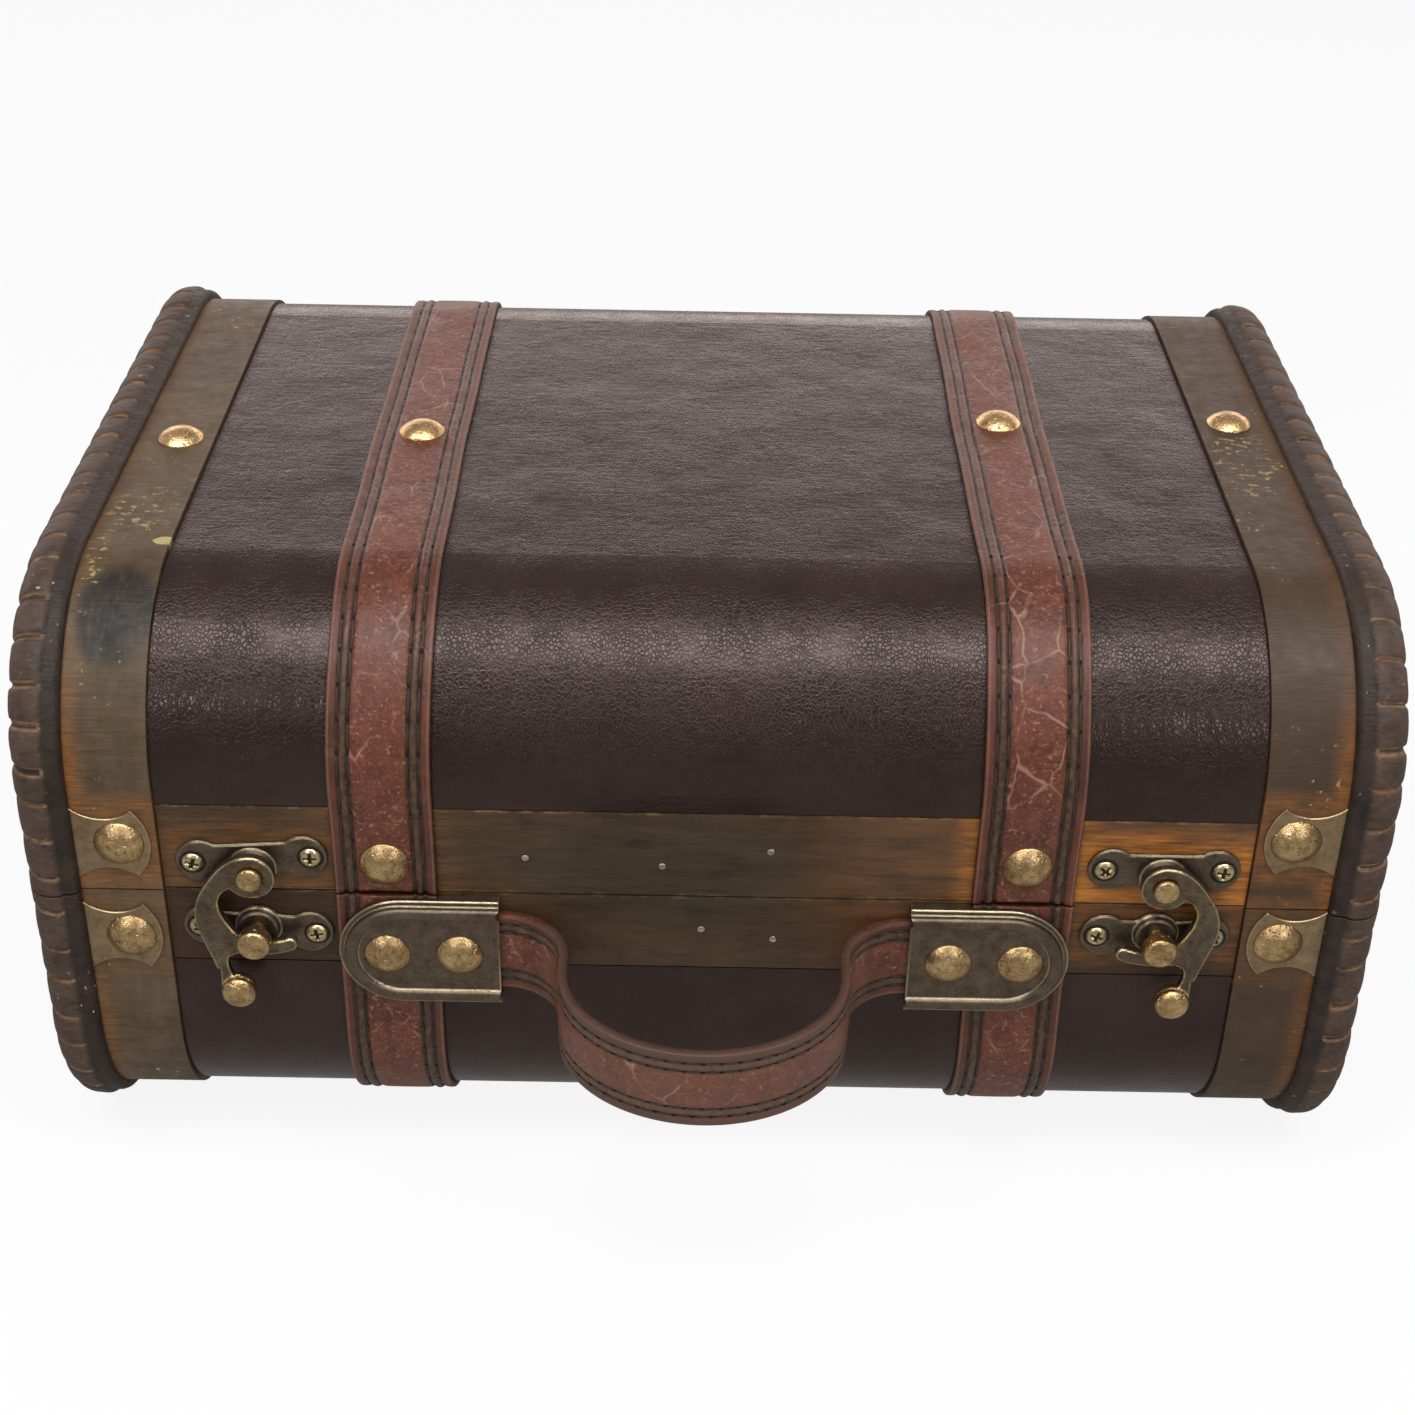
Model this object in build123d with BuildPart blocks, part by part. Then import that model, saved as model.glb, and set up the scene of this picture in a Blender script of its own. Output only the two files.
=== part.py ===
"""A small wooden suitcase box: carved end boards, leatherette cover, leather straps, two swing hook latches.

The case lies flat. X runs along its length, Y from front (negative) to back, Z up. The pieces are drawn
about the middle of the case, and saved with the origin under the middle of the whole outline, halfway between
the front of the handle and the back of the hinges. All lengths are in millimetres.
"""

from build123d import *
from math import cos, pi, radians, sin
import os

os.makedirs("parts", exist_ok=True)

# Overall sizes of the closed case
case_length = 300
case_depth = 213
case_height = 151
seam_share = 0.54
rim_corner = 42.5

# Boards, and the layers that are glued on them
end_board = 12
rim_proud = 3.5
rim_round = 6.5
rim_ease = 2.5
band_width = 18
band_step = 1.0
leather_thickness = 0.8
board_thickness = 5
lining_thickness = 0.5
lining_drop = 3
lid_rail_margin = 4.5
base_rail_height = 20

# Play between the pieces
seam_gap = 0.4
edge_gap = 0.3
fit_gap = 0.1
running_gap = 0.2
overrun = 5

# Leather straps round the case
strap_width = 22.5
strap_thickness = 1.6
strap_from_latch = 29.1

# Dome nails: brass caps on a thin shank
nail_radius = 5.6
nail_height = 2.6
nail_shank = 0.9
nail_depth = 5.2
strap_nail_rise = 8.5
right_strap_nail_rise = 10.5
left_band_nail_y = -12
left_strap_nail_y = -7.3
right_strap_nail_y = 3.2
right_band_nail_y = 6.3

# Corner plates, nailed by eye, so each has its own height from the seam
corner_plate_length = 16.7
corner_plate_height = 18.4
corner_plate_waist = 12.9
corner_plate_nose = 3.5
corner_plate_tip_height = 17.4
corner_plate_thickness = 0.6
corner_nail_inset = 9.8
left_lid_plate_rise = 12.9
right_lid_plate_rise = 18.8
left_base_plate_drop = 12.6
right_base_plate_drop = 9.4

# Swing hook latches: plates, boss, pivot and post
latch_inset = 20.4
latch_plate_length = 33.6
latch_plate_width = 10.8
latch_plate_waist = 8.2
latch_plate_thickness = 1.0
latch_screw_spacing = 26
latch_plate_rise = 8.8
catch_plate_drop = 10.6
boss_radius = 5.4
pivot_boss_height = 2.0
catch_boss_height = 1.4
boss_taper = 20
plate_neck = 1.5
brass_edge = 0.4
pivot_rise = 6.8
pivot_radius = 1.6
pivot_head_radius = 2.85
pivot_head_height = 1.2
post_radius = 1.6
post_head_radius = 3.7
post_head_height = 3.2
post_head_bevel = 0.9
post_drop = 16.5

# The latches are set by eye: the right one sits higher and further out, and the left plates are turned
right_latch_out = 1.0
right_latch_lift = 1.2
right_catch_lift = 2.3
left_latch_turn = 4
left_catch_turn = -3.5

# The hook: an eye, a sickle arm, a tongue that runs round the pivot and a tail with a thumb button
hook_thickness = 2.0
hook_eye_radius = 5.4
hook_length = 31
tongue_width = 3.1
thumb_radius = 4.0
thumb_thickness = 3.4
thumb_edge = 1.4
tail_bend = 12

# Small screws with a cross in the head
screw_head_radius = 2.6
screw_head_height = 0.9
screw_radius = 1.1
screw_bite = 4.6
cross_length = 2.6
cross_width = 0.6
cross_depth = 0.5

# Carrying handle: two end plates, a leather strap that stands out in an arch
handle_plate_lead = 24.9
handle_plate_length = 36
handle_plate_height = 28.4
handle_plate_drop = 14.6
flange_height = 3.2
ridge_height = 5.0
flange_width = 1.3
ridge_width = 2.9
ridge_edge = 0.8
handle_thickness = 3.0
handle_width = 20.4
handle_reach = 44
handle_straight = 0.6
handle_root = 20
root_radius_share = 1.043
half_turn = 180
handle_tab = 13
handle_plate_sheet = 1.0
handle_droop = 3
stub_reach = 11.2
rivet_radius = 5.3
rivet_height = 2.2
rivet_shank = 1.5
rivet_inset = 9.0
rivet_spacing = 16.2

# Two butt hinges on the back, with cranked leaves that carry the pin clear of the rims
hinge_inset = 20
hinge_length = 27
hinge_leaf_height = 13.5
hinge_sheet = 1.0
hinge_tab = 1.5
knuckle_radius = 2.2
hinge_pin_radius = 0.9
hinge_pin_end = 0.5
hinge_screw_spacing = 17
hinge_screw_rise = 8.5

# Insets of each surface from the carved rim, measured inwards
band_inset = rim_proud
leather_inset = band_inset + band_step
strap_inset = leather_inset - strap_thickness
board_inset = leather_inset + leather_thickness
inside_inset = board_inset + board_thickness
lining_inset = inside_inset + lining_thickness

# Places along X, Y and Z that several pieces share: metalwork and straps keep their places by the bands
inner_end = case_length / 2 - end_board
band_inner = inner_end - band_width
latch_centre = band_inner - latch_inset
strap_centre = latch_centre - strap_from_latch
handle_plate_inner = strap_centre - handle_plate_lead
hinge_centre = band_inner - hinge_inset
seam_height = seam_share * case_height
lid_rail_height = case_height - rim_corner - seam_height - lid_rail_margin
wall_face = case_depth / 2 - leather_inset
base_top = seam_height - seam_gap / 2
lid_bottom = seam_height + seam_gap / 2
lid_top = case_height - leather_inset
pivot_z = seam_height + pivot_rise
post_z = pivot_z - post_drop
handle_z = seam_height - handle_plate_drop
hinge_y = case_depth / 2 + edge_gap
hinge_stand = hinge_y - wall_face
hook_back = latch_plate_thickness + pivot_boss_height + running_gap
hook_front = hook_back + hook_thickness

# The bend at each end of the handle fits between its plate and the wall
root_room = handle_root * handle_plate_inner / (handle_root + handle_plate_inner)
handle_root_radius = root_radius_share * root_room
handle_half_span = handle_plate_inner - handle_straight - handle_root_radius

# The whole outline's reach to the front and to the back, which sets the origin
arch_reach = handle_reach - handle_root + handle_thickness / 2
drooped_reach = arch_reach * cos(radians(handle_droop)) + handle_width / 2 * sin(radians(handle_droop))
front_reach = wall_face + handle_root + drooped_reach
back_reach = hinge_y + knuckle_radius
origin_shift = (front_reach - back_reach) / 2


def front_plane(stand_off):
    """The front wall seen from outside, moved outwards: local x is X, local y is Z."""
    return Plane(origin=(0, -wall_face - stand_off, 0), x_dir=(1, 0, 0), z_dir=(0, -1, 0))


def back_plane(stand_off):
    """The back wall seen from outside, moved outwards: local x is minus X, local y is Z."""
    return Plane(origin=(0, wall_face + stand_off, 0), x_dir=(-1, 0, 0), z_dir=(0, 1, 0))


def plane_at(plane, across, up):
    """The same plane with its origin moved to a place on it."""
    return Plane(origin=plane.from_local_coords((across, up, 0)), x_dir=plane.x_dir, z_dir=plane.z_dir)


def on_plane(plane, across, up):
    """A place on one of those planes, turned so that its own z points out of the case."""
    return Location(plane_at(plane, across, up))


def section(inset, mode=Mode.ADD):
    """The closed case's rounded cross-section, this far inside the carved rim."""
    with Locations((0, case_height / 2)):
        RectangleRounded(case_depth - 2 * inset, case_height - 2 * inset, rim_corner - inset, mode=mode)


def keep_between(low, high):
    """Trims the sketch to the heights from low to high."""
    with Locations((0, (low + high) / 2)):
        Rectangle(case_depth + overrun, high - low, mode=Mode.INTERSECT)


def save(builder, name):
    """Moves a finished piece to the shared origin, labels it and writes it to its own file."""
    placed = Pos(0, origin_shift, 0) * builder.part
    placed.label = name
    export_step(placed, f"parts/{name}.step")


# Places of the fasteners, on the surface that each one's head sits on
plate_nail_x = inner_end - corner_nail_inset
strap_stand = strap_thickness
band_stand = band_step + corner_plate_thickness
top_plane = Plane.XY.offset(lid_top)

strap_wall_planes = (front_plane(strap_stand), back_plane(strap_stand))
lid_strap_nails = [
    on_plane(strap_wall_planes[0], -strap_centre, seam_height + strap_nail_rise),
    on_plane(strap_wall_planes[0], strap_centre, seam_height + right_strap_nail_rise),
    on_plane(strap_wall_planes[1], -strap_centre, seam_height + strap_nail_rise),
    on_plane(strap_wall_planes[1], strap_centre, seam_height + strap_nail_rise),
]
base_strap_nails = [
    on_plane(strap_wall_planes[1], side * strap_centre, seam_height - strap_nail_rise) for side in (-1, 1)
]
top_strap_nails = [
    on_plane(top_plane.offset(strap_stand), -strap_centre, left_strap_nail_y),
    on_plane(top_plane.offset(strap_stand), strap_centre, right_strap_nail_y),
]
top_band_nails = [
    on_plane(top_plane.offset(band_step), -plate_nail_x, left_band_nail_y),
    on_plane(top_plane.offset(band_step), plate_nail_x, right_band_nail_y),
]
lid_plate_nails = [
    on_plane(front_plane(band_stand), -plate_nail_x, seam_height + left_lid_plate_rise),
    on_plane(front_plane(band_stand), plate_nail_x, seam_height + right_lid_plate_rise),
]
base_plate_nails = [
    on_plane(front_plane(band_stand), -plate_nail_x, seam_height - left_base_plate_drop),
    on_plane(front_plane(band_stand), plate_nail_x, seam_height - right_base_plate_drop),
]
lid_nails = lid_strap_nails + top_strap_nails + top_band_nails + lid_plate_nails
base_nails = base_strap_nails + base_plate_nails


def screw_places(side_plane, centre, height, spacing):
    """Two screws on one small plate, for the plates at both ends of the case."""
    return [
        on_plane(side_plane, side * centre + half * spacing / 2, height)
        for side in (-1, 1)
        for half in (-1, 1)
    ]




def turned_plane(stand_off, place, turn):
    """A plane on the front wall at a pivot or a post, turned about its own z as that plate is."""
    return Plane(on_plane(front_plane(stand_off), *place) * Rot(0, 0, turn))


# Each latch: its side, the places of its pivot and its post, and how its two plates are turned
latch_sets = (
    (-1, "left", (-latch_centre, pivot_z), (-latch_centre, post_z), left_latch_turn, left_catch_turn),
    (
        1,
        "right",
        (latch_centre + right_latch_out, pivot_z + right_latch_lift),
        (latch_centre + right_latch_out, post_z + right_catch_lift),
        0,
        0,
    ),
)
plate_above_pivot = latch_plate_rise - pivot_rise
plate_below_post = pivot_rise - post_drop + catch_plate_drop


def plate_screw_places(boss_place, turn, plate_rise):
    """The two screws of one latch plate, which turn with it."""
    plate_plane = turned_plane(latch_plate_thickness, boss_place, turn)
    return [on_plane(plate_plane, half * latch_screw_spacing / 2, plate_rise) for half in (-1, 1)]


latch_screws_at = []
catch_screws_at = []
for _, _, pivot_place, post_place, latch_turn, catch_turn in latch_sets:
    latch_screws_at += plate_screw_places(pivot_place, latch_turn, plate_above_pivot)
    catch_screws_at += plate_screw_places(post_place, catch_turn, -plate_below_post)
lid_hinge_screws_at = screw_places(
    back_plane(hinge_sheet), hinge_centre, seam_height + hinge_screw_rise, hinge_screw_spacing
)
base_hinge_screws_at = screw_places(
    back_plane(hinge_sheet), hinge_centre, seam_height - hinge_screw_rise, hinge_screw_spacing
)
rivet_field = handle_thickness + fit_gap + handle_plate_sheet
first_rivet = handle_plate_inner + rivet_inset
rivets_at = [
    on_plane(front_plane(rivet_field), side * (first_rivet + step * rivet_spacing), handle_z)
    for side in (-1, 1)
    for step in (0, 1)
]
pivots_at = [on_plane(front_plane(0), *pivot) for _, _, pivot, _, _, _ in latch_sets]
posts_at = [on_plane(front_plane(0), *post) for _, _, _, post, _, _ in latch_sets]


def drill(places, radius, depth):
    """Straight holes at these places, from outside the head's seat down to this depth below it."""
    with Locations(*places):
        Cylinder(radius, depth + fit_gap, align=(Align.CENTER, Align.CENTER, Align.MAX), mode=Mode.SUBTRACT)


def drill_lid():
    """The holes of every fastener that the lid's walls and trim carry."""
    drill(lid_nails, nail_shank, nail_depth)
    drill(latch_screws_at, screw_radius, latch_plate_thickness + leather_thickness + screw_bite)
    drill(lid_hinge_screws_at, screw_radius, hinge_sheet + leather_thickness + screw_bite)
    drill(pivots_at, pivot_radius, leather_thickness + screw_bite)


def drill_base():
    """The holes of every fastener that the base's walls and trim carry."""
    drill(base_nails, nail_shank, nail_depth)
    drill(catch_screws_at, screw_radius, latch_plate_thickness + leather_thickness + screw_bite)
    drill(base_hinge_screws_at, screw_radius, hinge_sheet + leather_thickness + screw_bite)
    drill(posts_at, post_radius, leather_thickness + screw_bite)
    drill(rivets_at, rivet_shank, rivet_field + leather_thickness + screw_bite)


def wrapped_layer(outer, inner, start, end, low, high, drill_holes):
    """A layer of even thickness that follows the cross-section, between two places on X and two heights."""
    with BuildPart() as layer:
        with BuildSketch(Plane.YZ.offset(start)):
            section(outer)
            section(inner, Mode.SUBTRACT)
            keep_between(low, high)
        extrude(amount=end - start)
        drill_holes()
    return layer


# Shells: thin board bent round the corners, open at the seam and closed by the end boards
base_shell = wrapped_layer(board_inset, inside_inset, -inner_end, inner_end, 0, base_top, drill_base)
save(base_shell, "base_shell")
lid_shell = wrapped_layer(
    board_inset, inside_inset, -inner_end, inner_end, lid_bottom, case_height, drill_lid
)
save(lid_shell, "lid_shell")

# Leatherette: one sheet on the base and one on the lid, between the bands and the wooden rails
leather_end = band_inner - edge_gap
base_leather_top = seam_height - base_rail_height - edge_gap
lid_leather_bottom = seam_height + lid_rail_height + edge_gap
base_leatherette = wrapped_layer(
    leather_inset, board_inset, -leather_end, leather_end, 0, base_leather_top, drill_base
)
save(base_leatherette, "base_leatherette")
lid_leatherette = wrapped_layer(
    leather_inset, board_inset, -leather_end, leather_end, lid_leather_bottom, case_height, drill_lid
)
save(lid_leatherette, "lid_leatherette")

# Bands and straps, each wrapped round the base and the lid at both ends of the case
for side, side_name in ((-1, "left"), (1, "right")):
    band_start = min(side * band_inner, side * inner_end)
    strap_start = side * strap_centre - strap_width / 2
    for layer_name, outer, inner, start, width in (
        ("band", band_inset, board_inset, band_start, band_width),
        ("strap", strap_inset, leather_inset, strap_start, strap_width),
    ):
        on_base = wrapped_layer(outer, inner, start, start + width, 0, base_top, drill_base)
        save(on_base, f"base_{layer_name}_{side_name}")
        on_lid = wrapped_layer(outer, inner, start, start + width, lid_bottom, case_height, drill_lid)
        save(on_lid, f"lid_{layer_name}_{side_name}")


def end_piece(side, keep):
    """Half of an end board: its edge is rounded over, and it stands proud of the bands as a rim."""
    with BuildPart() as board:
        with BuildSketch(Plane.YZ.offset(side * inner_end)):
            section(0)
        extrude(amount=side * end_board)
        by_x = board.faces().sort_by(Axis.X)
        outer_face, inner_face = (by_x[-1], by_x[0]) if side > 0 else (by_x[0], by_x[-1])
        outer_edges = outer_face.edges()
        inner_edges = inner_face.edges()
        fillet(outer_edges, rim_round)
        fillet(inner_edges, rim_ease)
        cut_height = base_top if keep == Keep.BOTTOM else lid_bottom
        split(bisect_by=Plane.XY.offset(cut_height), keep=keep)
    return board


for side, side_name in ((-1, "left"), (1, "right")):
    save(end_piece(side, Keep.BOTTOM), f"base_end_{side_name}")
    save(end_piece(side, Keep.TOP), f"lid_end_{side_name}")


def rail(side_plane, low, high, drill_holes):
    """A flat wooden strip along the seam, glued on the shell between the bands."""
    with BuildPart() as strip:
        with BuildSketch(side_plane):
            with Locations((0, (low + high) / 2)):
                Rectangle(2 * leather_end, high - low)
        extrude(amount=-leather_thickness)
        drill_holes()
    return strip


for wall_name, wall_plane in (("front", front_plane(0)), ("back", back_plane(0))):
    base_rail_low = seam_height - base_rail_height
    save(rail(wall_plane, base_rail_low, base_top, drill_base), f"base_{wall_name}_rail")
    lid_rail_high = seam_height + lid_rail_height
    save(rail(wall_plane, lid_bottom, lid_rail_high, drill_lid), f"lid_{wall_name}_rail")


def lining(low, high):
    """A thin cloth tray on the inside of the walls and of the end boards."""
    with BuildPart() as tray:
        with BuildSketch(Plane.YZ.offset(-inner_end)):
            section(inside_inset)
            keep_between(low, high)
        extrude(amount=2 * inner_end)
        with BuildSketch(Plane.YZ.offset(-inner_end + lining_thickness)):
            section(lining_inset)
        extrude(amount=2 * (inner_end - lining_thickness), mode=Mode.SUBTRACT)
    return tray


base_lining = lining(0, seam_height - lining_drop)
save(base_lining, "base_lining")
lid_lining = lining(seam_height + lining_drop, case_height)
save(lid_lining, "lid_lining")


def dome_head(radius, height):
    """A shallow dome with its flat seat at zero: the top of a ball, cut off."""
    ball = (radius**2 + height**2) / (2 * height)
    with Locations((0, 0, height - ball)):
        Sphere(ball)
    split(bisect_by=Plane.XY, keep=Keep.TOP)


# A dome nail, made once about its own axis
with BuildPart() as dome_nail:
    dome_head(nail_radius, nail_height)
    Cylinder(nail_shank, nail_depth, align=(Align.CENTER, Align.CENTER, Align.MAX))

for group_name, places in (("lid_dome_nails", lid_nails), ("base_dome_nails", base_nails)):
    with BuildPart() as nails:
        with Locations(*places):
            add(dome_nail.part)
    save(nails, group_name)


def corner_plate(side, height, drill_holes):
    """A thin brass plate: square against the rim, hollow above and below, with a rounded nose."""
    tip = corner_plate_length - corner_plate_nose
    half_waist = corner_plate_waist / 2
    with BuildPart() as plate:
        with BuildSketch(plane_at(front_plane(band_step), side * inner_end, height)):
            with BuildLine():
                rim_edge = Line((0, -corner_plate_height / 2), (0, corner_plate_height / 2))
                upper = ThreePointArc(
                    rim_edge @ 1, (-side * tip / 2, half_waist), (-side * tip, corner_plate_tip_height / 2)
                )
                nose = ThreePointArc(
                    upper @ 1, (-side * corner_plate_length, 0), (-side * tip, -corner_plate_tip_height / 2)
                )
                ThreePointArc(nose @ 1, (-side * tip / 2, -half_waist), rim_edge @ 0)
            make_face()
        extrude(amount=corner_plate_thickness)
        drill_holes()
    return plate


for side, side_name, lid_rise, base_drop in (
    (-1, "left", left_lid_plate_rise, left_base_plate_drop),
    (1, "right", right_lid_plate_rise, right_base_plate_drop),
):
    save(corner_plate(side, seam_height + lid_rise, drill_lid), f"lid_corner_plate_{side_name}")
    save(corner_plate(side, seam_height - base_drop, drill_base), f"base_corner_plate_{side_name}")


def latch_plate(boss_place, turn, plate_rise, boss_height, bore, drill_holes):
    """Half of a latch: two lobes for the screws, a waist, and a pressed boss for the pivot or the post."""
    lobe = latch_plate_width / 2
    lobe_centre = latch_plate_length / 2 - lobe
    outer_plane = turned_plane(latch_plate_thickness, boss_place, turn)
    with BuildPart() as plate:
        with BuildSketch(turned_plane(0, boss_place, turn)) as shape:
            Circle(boss_radius)
            with Locations((-lobe_centre, plate_rise), (lobe_centre, plate_rise)):
                Circle(lobe)
            with Locations((0, plate_rise)):
                Rectangle(latch_plate_length - latch_plate_width, latch_plate_waist)
            fillet(shape.vertices(), plate_neck)
        extrude(amount=latch_plate_thickness)
        fillet(plate.faces().sort_by(Axis.Y)[0].edges(), brass_edge)
        with BuildSketch(outer_plane):
            Circle(boss_radius - brass_edge)
        extrude(amount=boss_height, taper=boss_taper)
        fillet(plate.faces().sort_by(Axis.Y)[0].edges(), brass_edge)
        with Locations(Location(outer_plane)):
            Cylinder(bore, 2 * overrun, mode=Mode.SUBTRACT)
        drill_holes()
    return plate


for side, side_name, pivot_place, post_place, latch_turn, catch_turn in latch_sets:
    upper_plate = latch_plate(
        pivot_place, latch_turn, plate_above_pivot, pivot_boss_height, pivot_radius, drill_lid
    )
    save(upper_plate, f"latch_plate_{side_name}")
    lower_plate = latch_plate(
        post_place, catch_turn, -plate_below_post, catch_boss_height, post_radius, drill_base
    )
    save(lower_plate, f"catch_plate_{side_name}")

    # The pivot is a rivet: its shank is in the lid's wall, and its head keeps the hook on
    with BuildPart(plane_at(front_plane(0), *pivot_place)) as pivot:
        with Locations((0, 0, -leather_thickness - screw_bite)):
            Cylinder(
                pivot_radius,
                leather_thickness + screw_bite + hook_front + running_gap,
                align=(Align.CENTER, Align.CENTER, Align.MIN),
            )
        with Locations((0, 0, hook_front + running_gap)):
            Cylinder(pivot_head_radius, pivot_head_height, align=(Align.CENTER, Align.CENTER, Align.MIN))
        fillet(pivot.faces().sort_by(Axis.Y)[0].edges(), pivot_head_height / 2)
    save(pivot, f"latch_pivot_{side_name}")

    # The post stands on the catch plate, and the hook's tongue lies under its head
    with BuildPart(plane_at(front_plane(0), *post_place)) as post:
        with Locations((0, 0, -leather_thickness - screw_bite)):
            Cylinder(
                post_radius,
                leather_thickness + screw_bite + hook_front + 2 * running_gap,
                align=(Align.CENTER, Align.CENTER, Align.MIN),
            )
        with Locations((0, 0, hook_front + 2 * running_gap)):
            Cylinder(post_head_radius, post_head_height, align=(Align.CENTER, Align.CENTER, Align.MIN))
        fillet(post.faces().sort_by(Axis.Y)[0].edges(), post_head_bevel)
    save(post, f"catch_post_{side_name}")

# The hook's curved edges, as shares of its length: outwards and up from the pivot
hook_back_shares = (
    (0.165, 0.115),
    (0.302, -0.04),
    (0.393, -0.206),
    (0.419, -0.355),
    (0.395, -0.503),
    (0.345, -0.668),
    (0.29, -0.82),
    (0.268, -1.0),
)
hook_tail_shares = ((0.165, -0.9), (0.212, -0.8), (0.206, -0.73), (0.18, -0.7))
hook_throat_shares = ((0.115, -0.53), (0.185, -0.435), (0.232, -0.33), (0.245, -0.226), (0.21, -0.14))
thumb_place_share = 0.148
bend_share = 0.71
eye_root_angle = 57
tongue_tip_angle = -22
tongue_root_angle = 5
tongue_heel_angle = 11
tongue_inner = post_drop + post_radius + running_gap
tongue_outer = tongue_inner + tongue_width
tongue_middle = (tongue_inner + tongue_outer) / 2
bend_drop = bend_share * hook_length


def hook_outline(side):
    """The flat shape of the hook, with the pivot at zero. The tongue's two edges run round the pivot."""

    def at(share):
        return (side * share[0] * hook_length, share[1] * hook_length)

    def round_pivot(radius, angle):
        return Vector(0, -radius).rotate(Axis.Z, side * angle)

    tip_lead = (tongue_width / 2) / tongue_middle * (half_turn / pi)
    middle_angle = (tongue_tip_angle + tongue_root_angle) / 2
    eye_top = (0, hook_eye_radius)
    eye_root = round_pivot(hook_eye_radius, eye_root_angle)
    heel = round_pivot(tongue_outer, tongue_heel_angle)
    low_tip = round_pivot(tongue_outer, tongue_tip_angle)
    high_tip = round_pivot(tongue_inner, tongue_tip_angle)
    tongue_root = round_pivot(tongue_inner, tongue_root_angle)
    back_points = [at(share) for share in hook_back_shares]
    tail_points = [at(share) for share in hook_tail_shares]
    throat_points = [at(share) for share in hook_throat_shares]
    with BuildLine() as outline:
        Spline(eye_top, *back_points, tangents=((side, 0), (0, -1)))
        Line(back_points[-1], tail_points[0])
        Spline(*tail_points, heel)
        ThreePointArc(heel, round_pivot(tongue_outer, middle_angle), low_tip)
        ThreePointArc(low_tip, round_pivot(tongue_middle, tongue_tip_angle - tip_lead), high_tip)
        ThreePointArc(high_tip, round_pivot(tongue_inner, middle_angle), tongue_root)
        Spline(tongue_root, *throat_points, eye_root)
        ThreePointArc(eye_root, (-side * hook_eye_radius, 0), eye_top)
    make_face(outline.edges())


def hook_part(side, plane, keep_centre):
    """The hook above or below the bend in its tail, cut from sheet."""
    with BuildPart() as sheet:
        with BuildSketch(plane):
            hook_outline(side)
            with Locations((0, keep_centre)):
                Rectangle(2 * hook_length, hook_length, mode=Mode.INTERSECT)
        extrude(amount=hook_thickness)
    return sheet.part


for side, side_name, pivot_place, _, _, _ in latch_sets:
    flat = plane_at(front_plane(hook_back), *pivot_place)
    bend = plane_at(flat, 0, -bend_drop).rotated((-tail_bend, 0, 0))
    bent = plane_at(bend, 0, bend_drop)
    thumb_seat = (hook_thickness - thumb_thickness) / 2
    thumb_plane = plane_at(bent.offset(thumb_seat), side * thumb_place_share * hook_length, -hook_length)
    with BuildPart(thumb_plane) as thumb:
        Cylinder(thumb_radius, thumb_thickness, align=(Align.CENTER, Align.CENTER, Align.MIN))
        fillet(thumb.edges().filter_by(GeomType.CIRCLE), thumb_edge)
    with BuildPart() as hook:
        add(hook_part(side, flat, hook_length / 2 - bend_drop))
        add(hook_part(side, bent, -hook_length / 2 - bend_drop))
        add(thumb.part)
        with Locations(Location(flat)):
            Cylinder(pivot_radius + fit_gap, overrun, mode=Mode.SUBTRACT)
    save(hook, f"latch_hook_{side_name}")

# A small screw, made once about its own axis: a low domed head with a cross in it
with BuildPart() as small_screw:
    dome_head(screw_head_radius, screw_head_height)
    with BuildSketch(Plane.XY.offset(screw_head_height - cross_depth)):
        Rectangle(cross_length, cross_width)
        Rectangle(cross_width, cross_length)
    extrude(amount=overrun, mode=Mode.SUBTRACT)
    Cylinder(
        screw_radius,
        latch_plate_thickness + leather_thickness + screw_bite,
        align=(Align.CENTER, Align.CENTER, Align.MAX),
    )

for group_name, places in (
    ("latch_screws", latch_screws_at),
    ("catch_screws", catch_screws_at),
    ("lid_hinge_screws", lid_hinge_screws_at),
    ("base_hinge_screws", base_hinge_screws_at),
):
    with BuildPart() as screws:
        with Locations(*places):
            add(small_screw.part)
    save(screws, group_name)


def d_shape(side, inset):
    """A handle plate's outline, this far inside its edge: straight at the handle's end, half round beyond."""
    radius = handle_plate_height / 2 - inset
    round_centre = handle_plate_inner + handle_plate_length - handle_plate_height / 2
    straight = round_centre - handle_plate_inner
    with Locations((side * round_centre, handle_z)):
        Circle(radius)
    with Locations((side * (handle_plate_inner + straight / 2), handle_z)):
        Rectangle(straight, 2 * radius)


# Handle plates: pressed cups with a ridge round the edge, over the strap and the end of the handle's leather
tab_end = handle_plate_inner + handle_tab
strap_side = strap_centre - strap_width / 2 - fit_gap
for side, side_name in ((-1, "left"), (1, "right")):
    with BuildPart() as plate:
        with BuildSketch(front_plane(0)):
            d_shape(side, 0)
        extrude(amount=flange_height)
        with BuildSketch(front_plane(0)):
            d_shape(side, flange_width)
        extrude(amount=ridge_height)
        with BuildSketch(front_plane(rivet_field)):
            d_shape(side, flange_width + ridge_width)
        extrude(amount=overrun, mode=Mode.SUBTRACT)
        by_height = plate.faces().filter_by(Plane.XZ).group_by(Axis.Y)
        ridge_top = by_height[0].edges()
        fillet(ridge_top, ridge_edge)
        with BuildSketch(front_plane(0)):
            with Locations((side * (strap_side + handle_plate_length / 2), handle_z)):
                Rectangle(handle_plate_length, handle_plate_height + overrun)
        extrude(amount=strap_thickness + fit_gap, mode=Mode.SUBTRACT)
        with BuildSketch(front_plane(0)):
            with Locations((side * tab_end / 2, handle_z)):
                Rectangle(tab_end + 2 * fit_gap, handle_width + 2 * fit_gap)
        extrude(amount=handle_thickness + fit_gap, mode=Mode.SUBTRACT)
        drill_base()
    save(plate, f"handle_plate_{side_name}")

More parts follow.
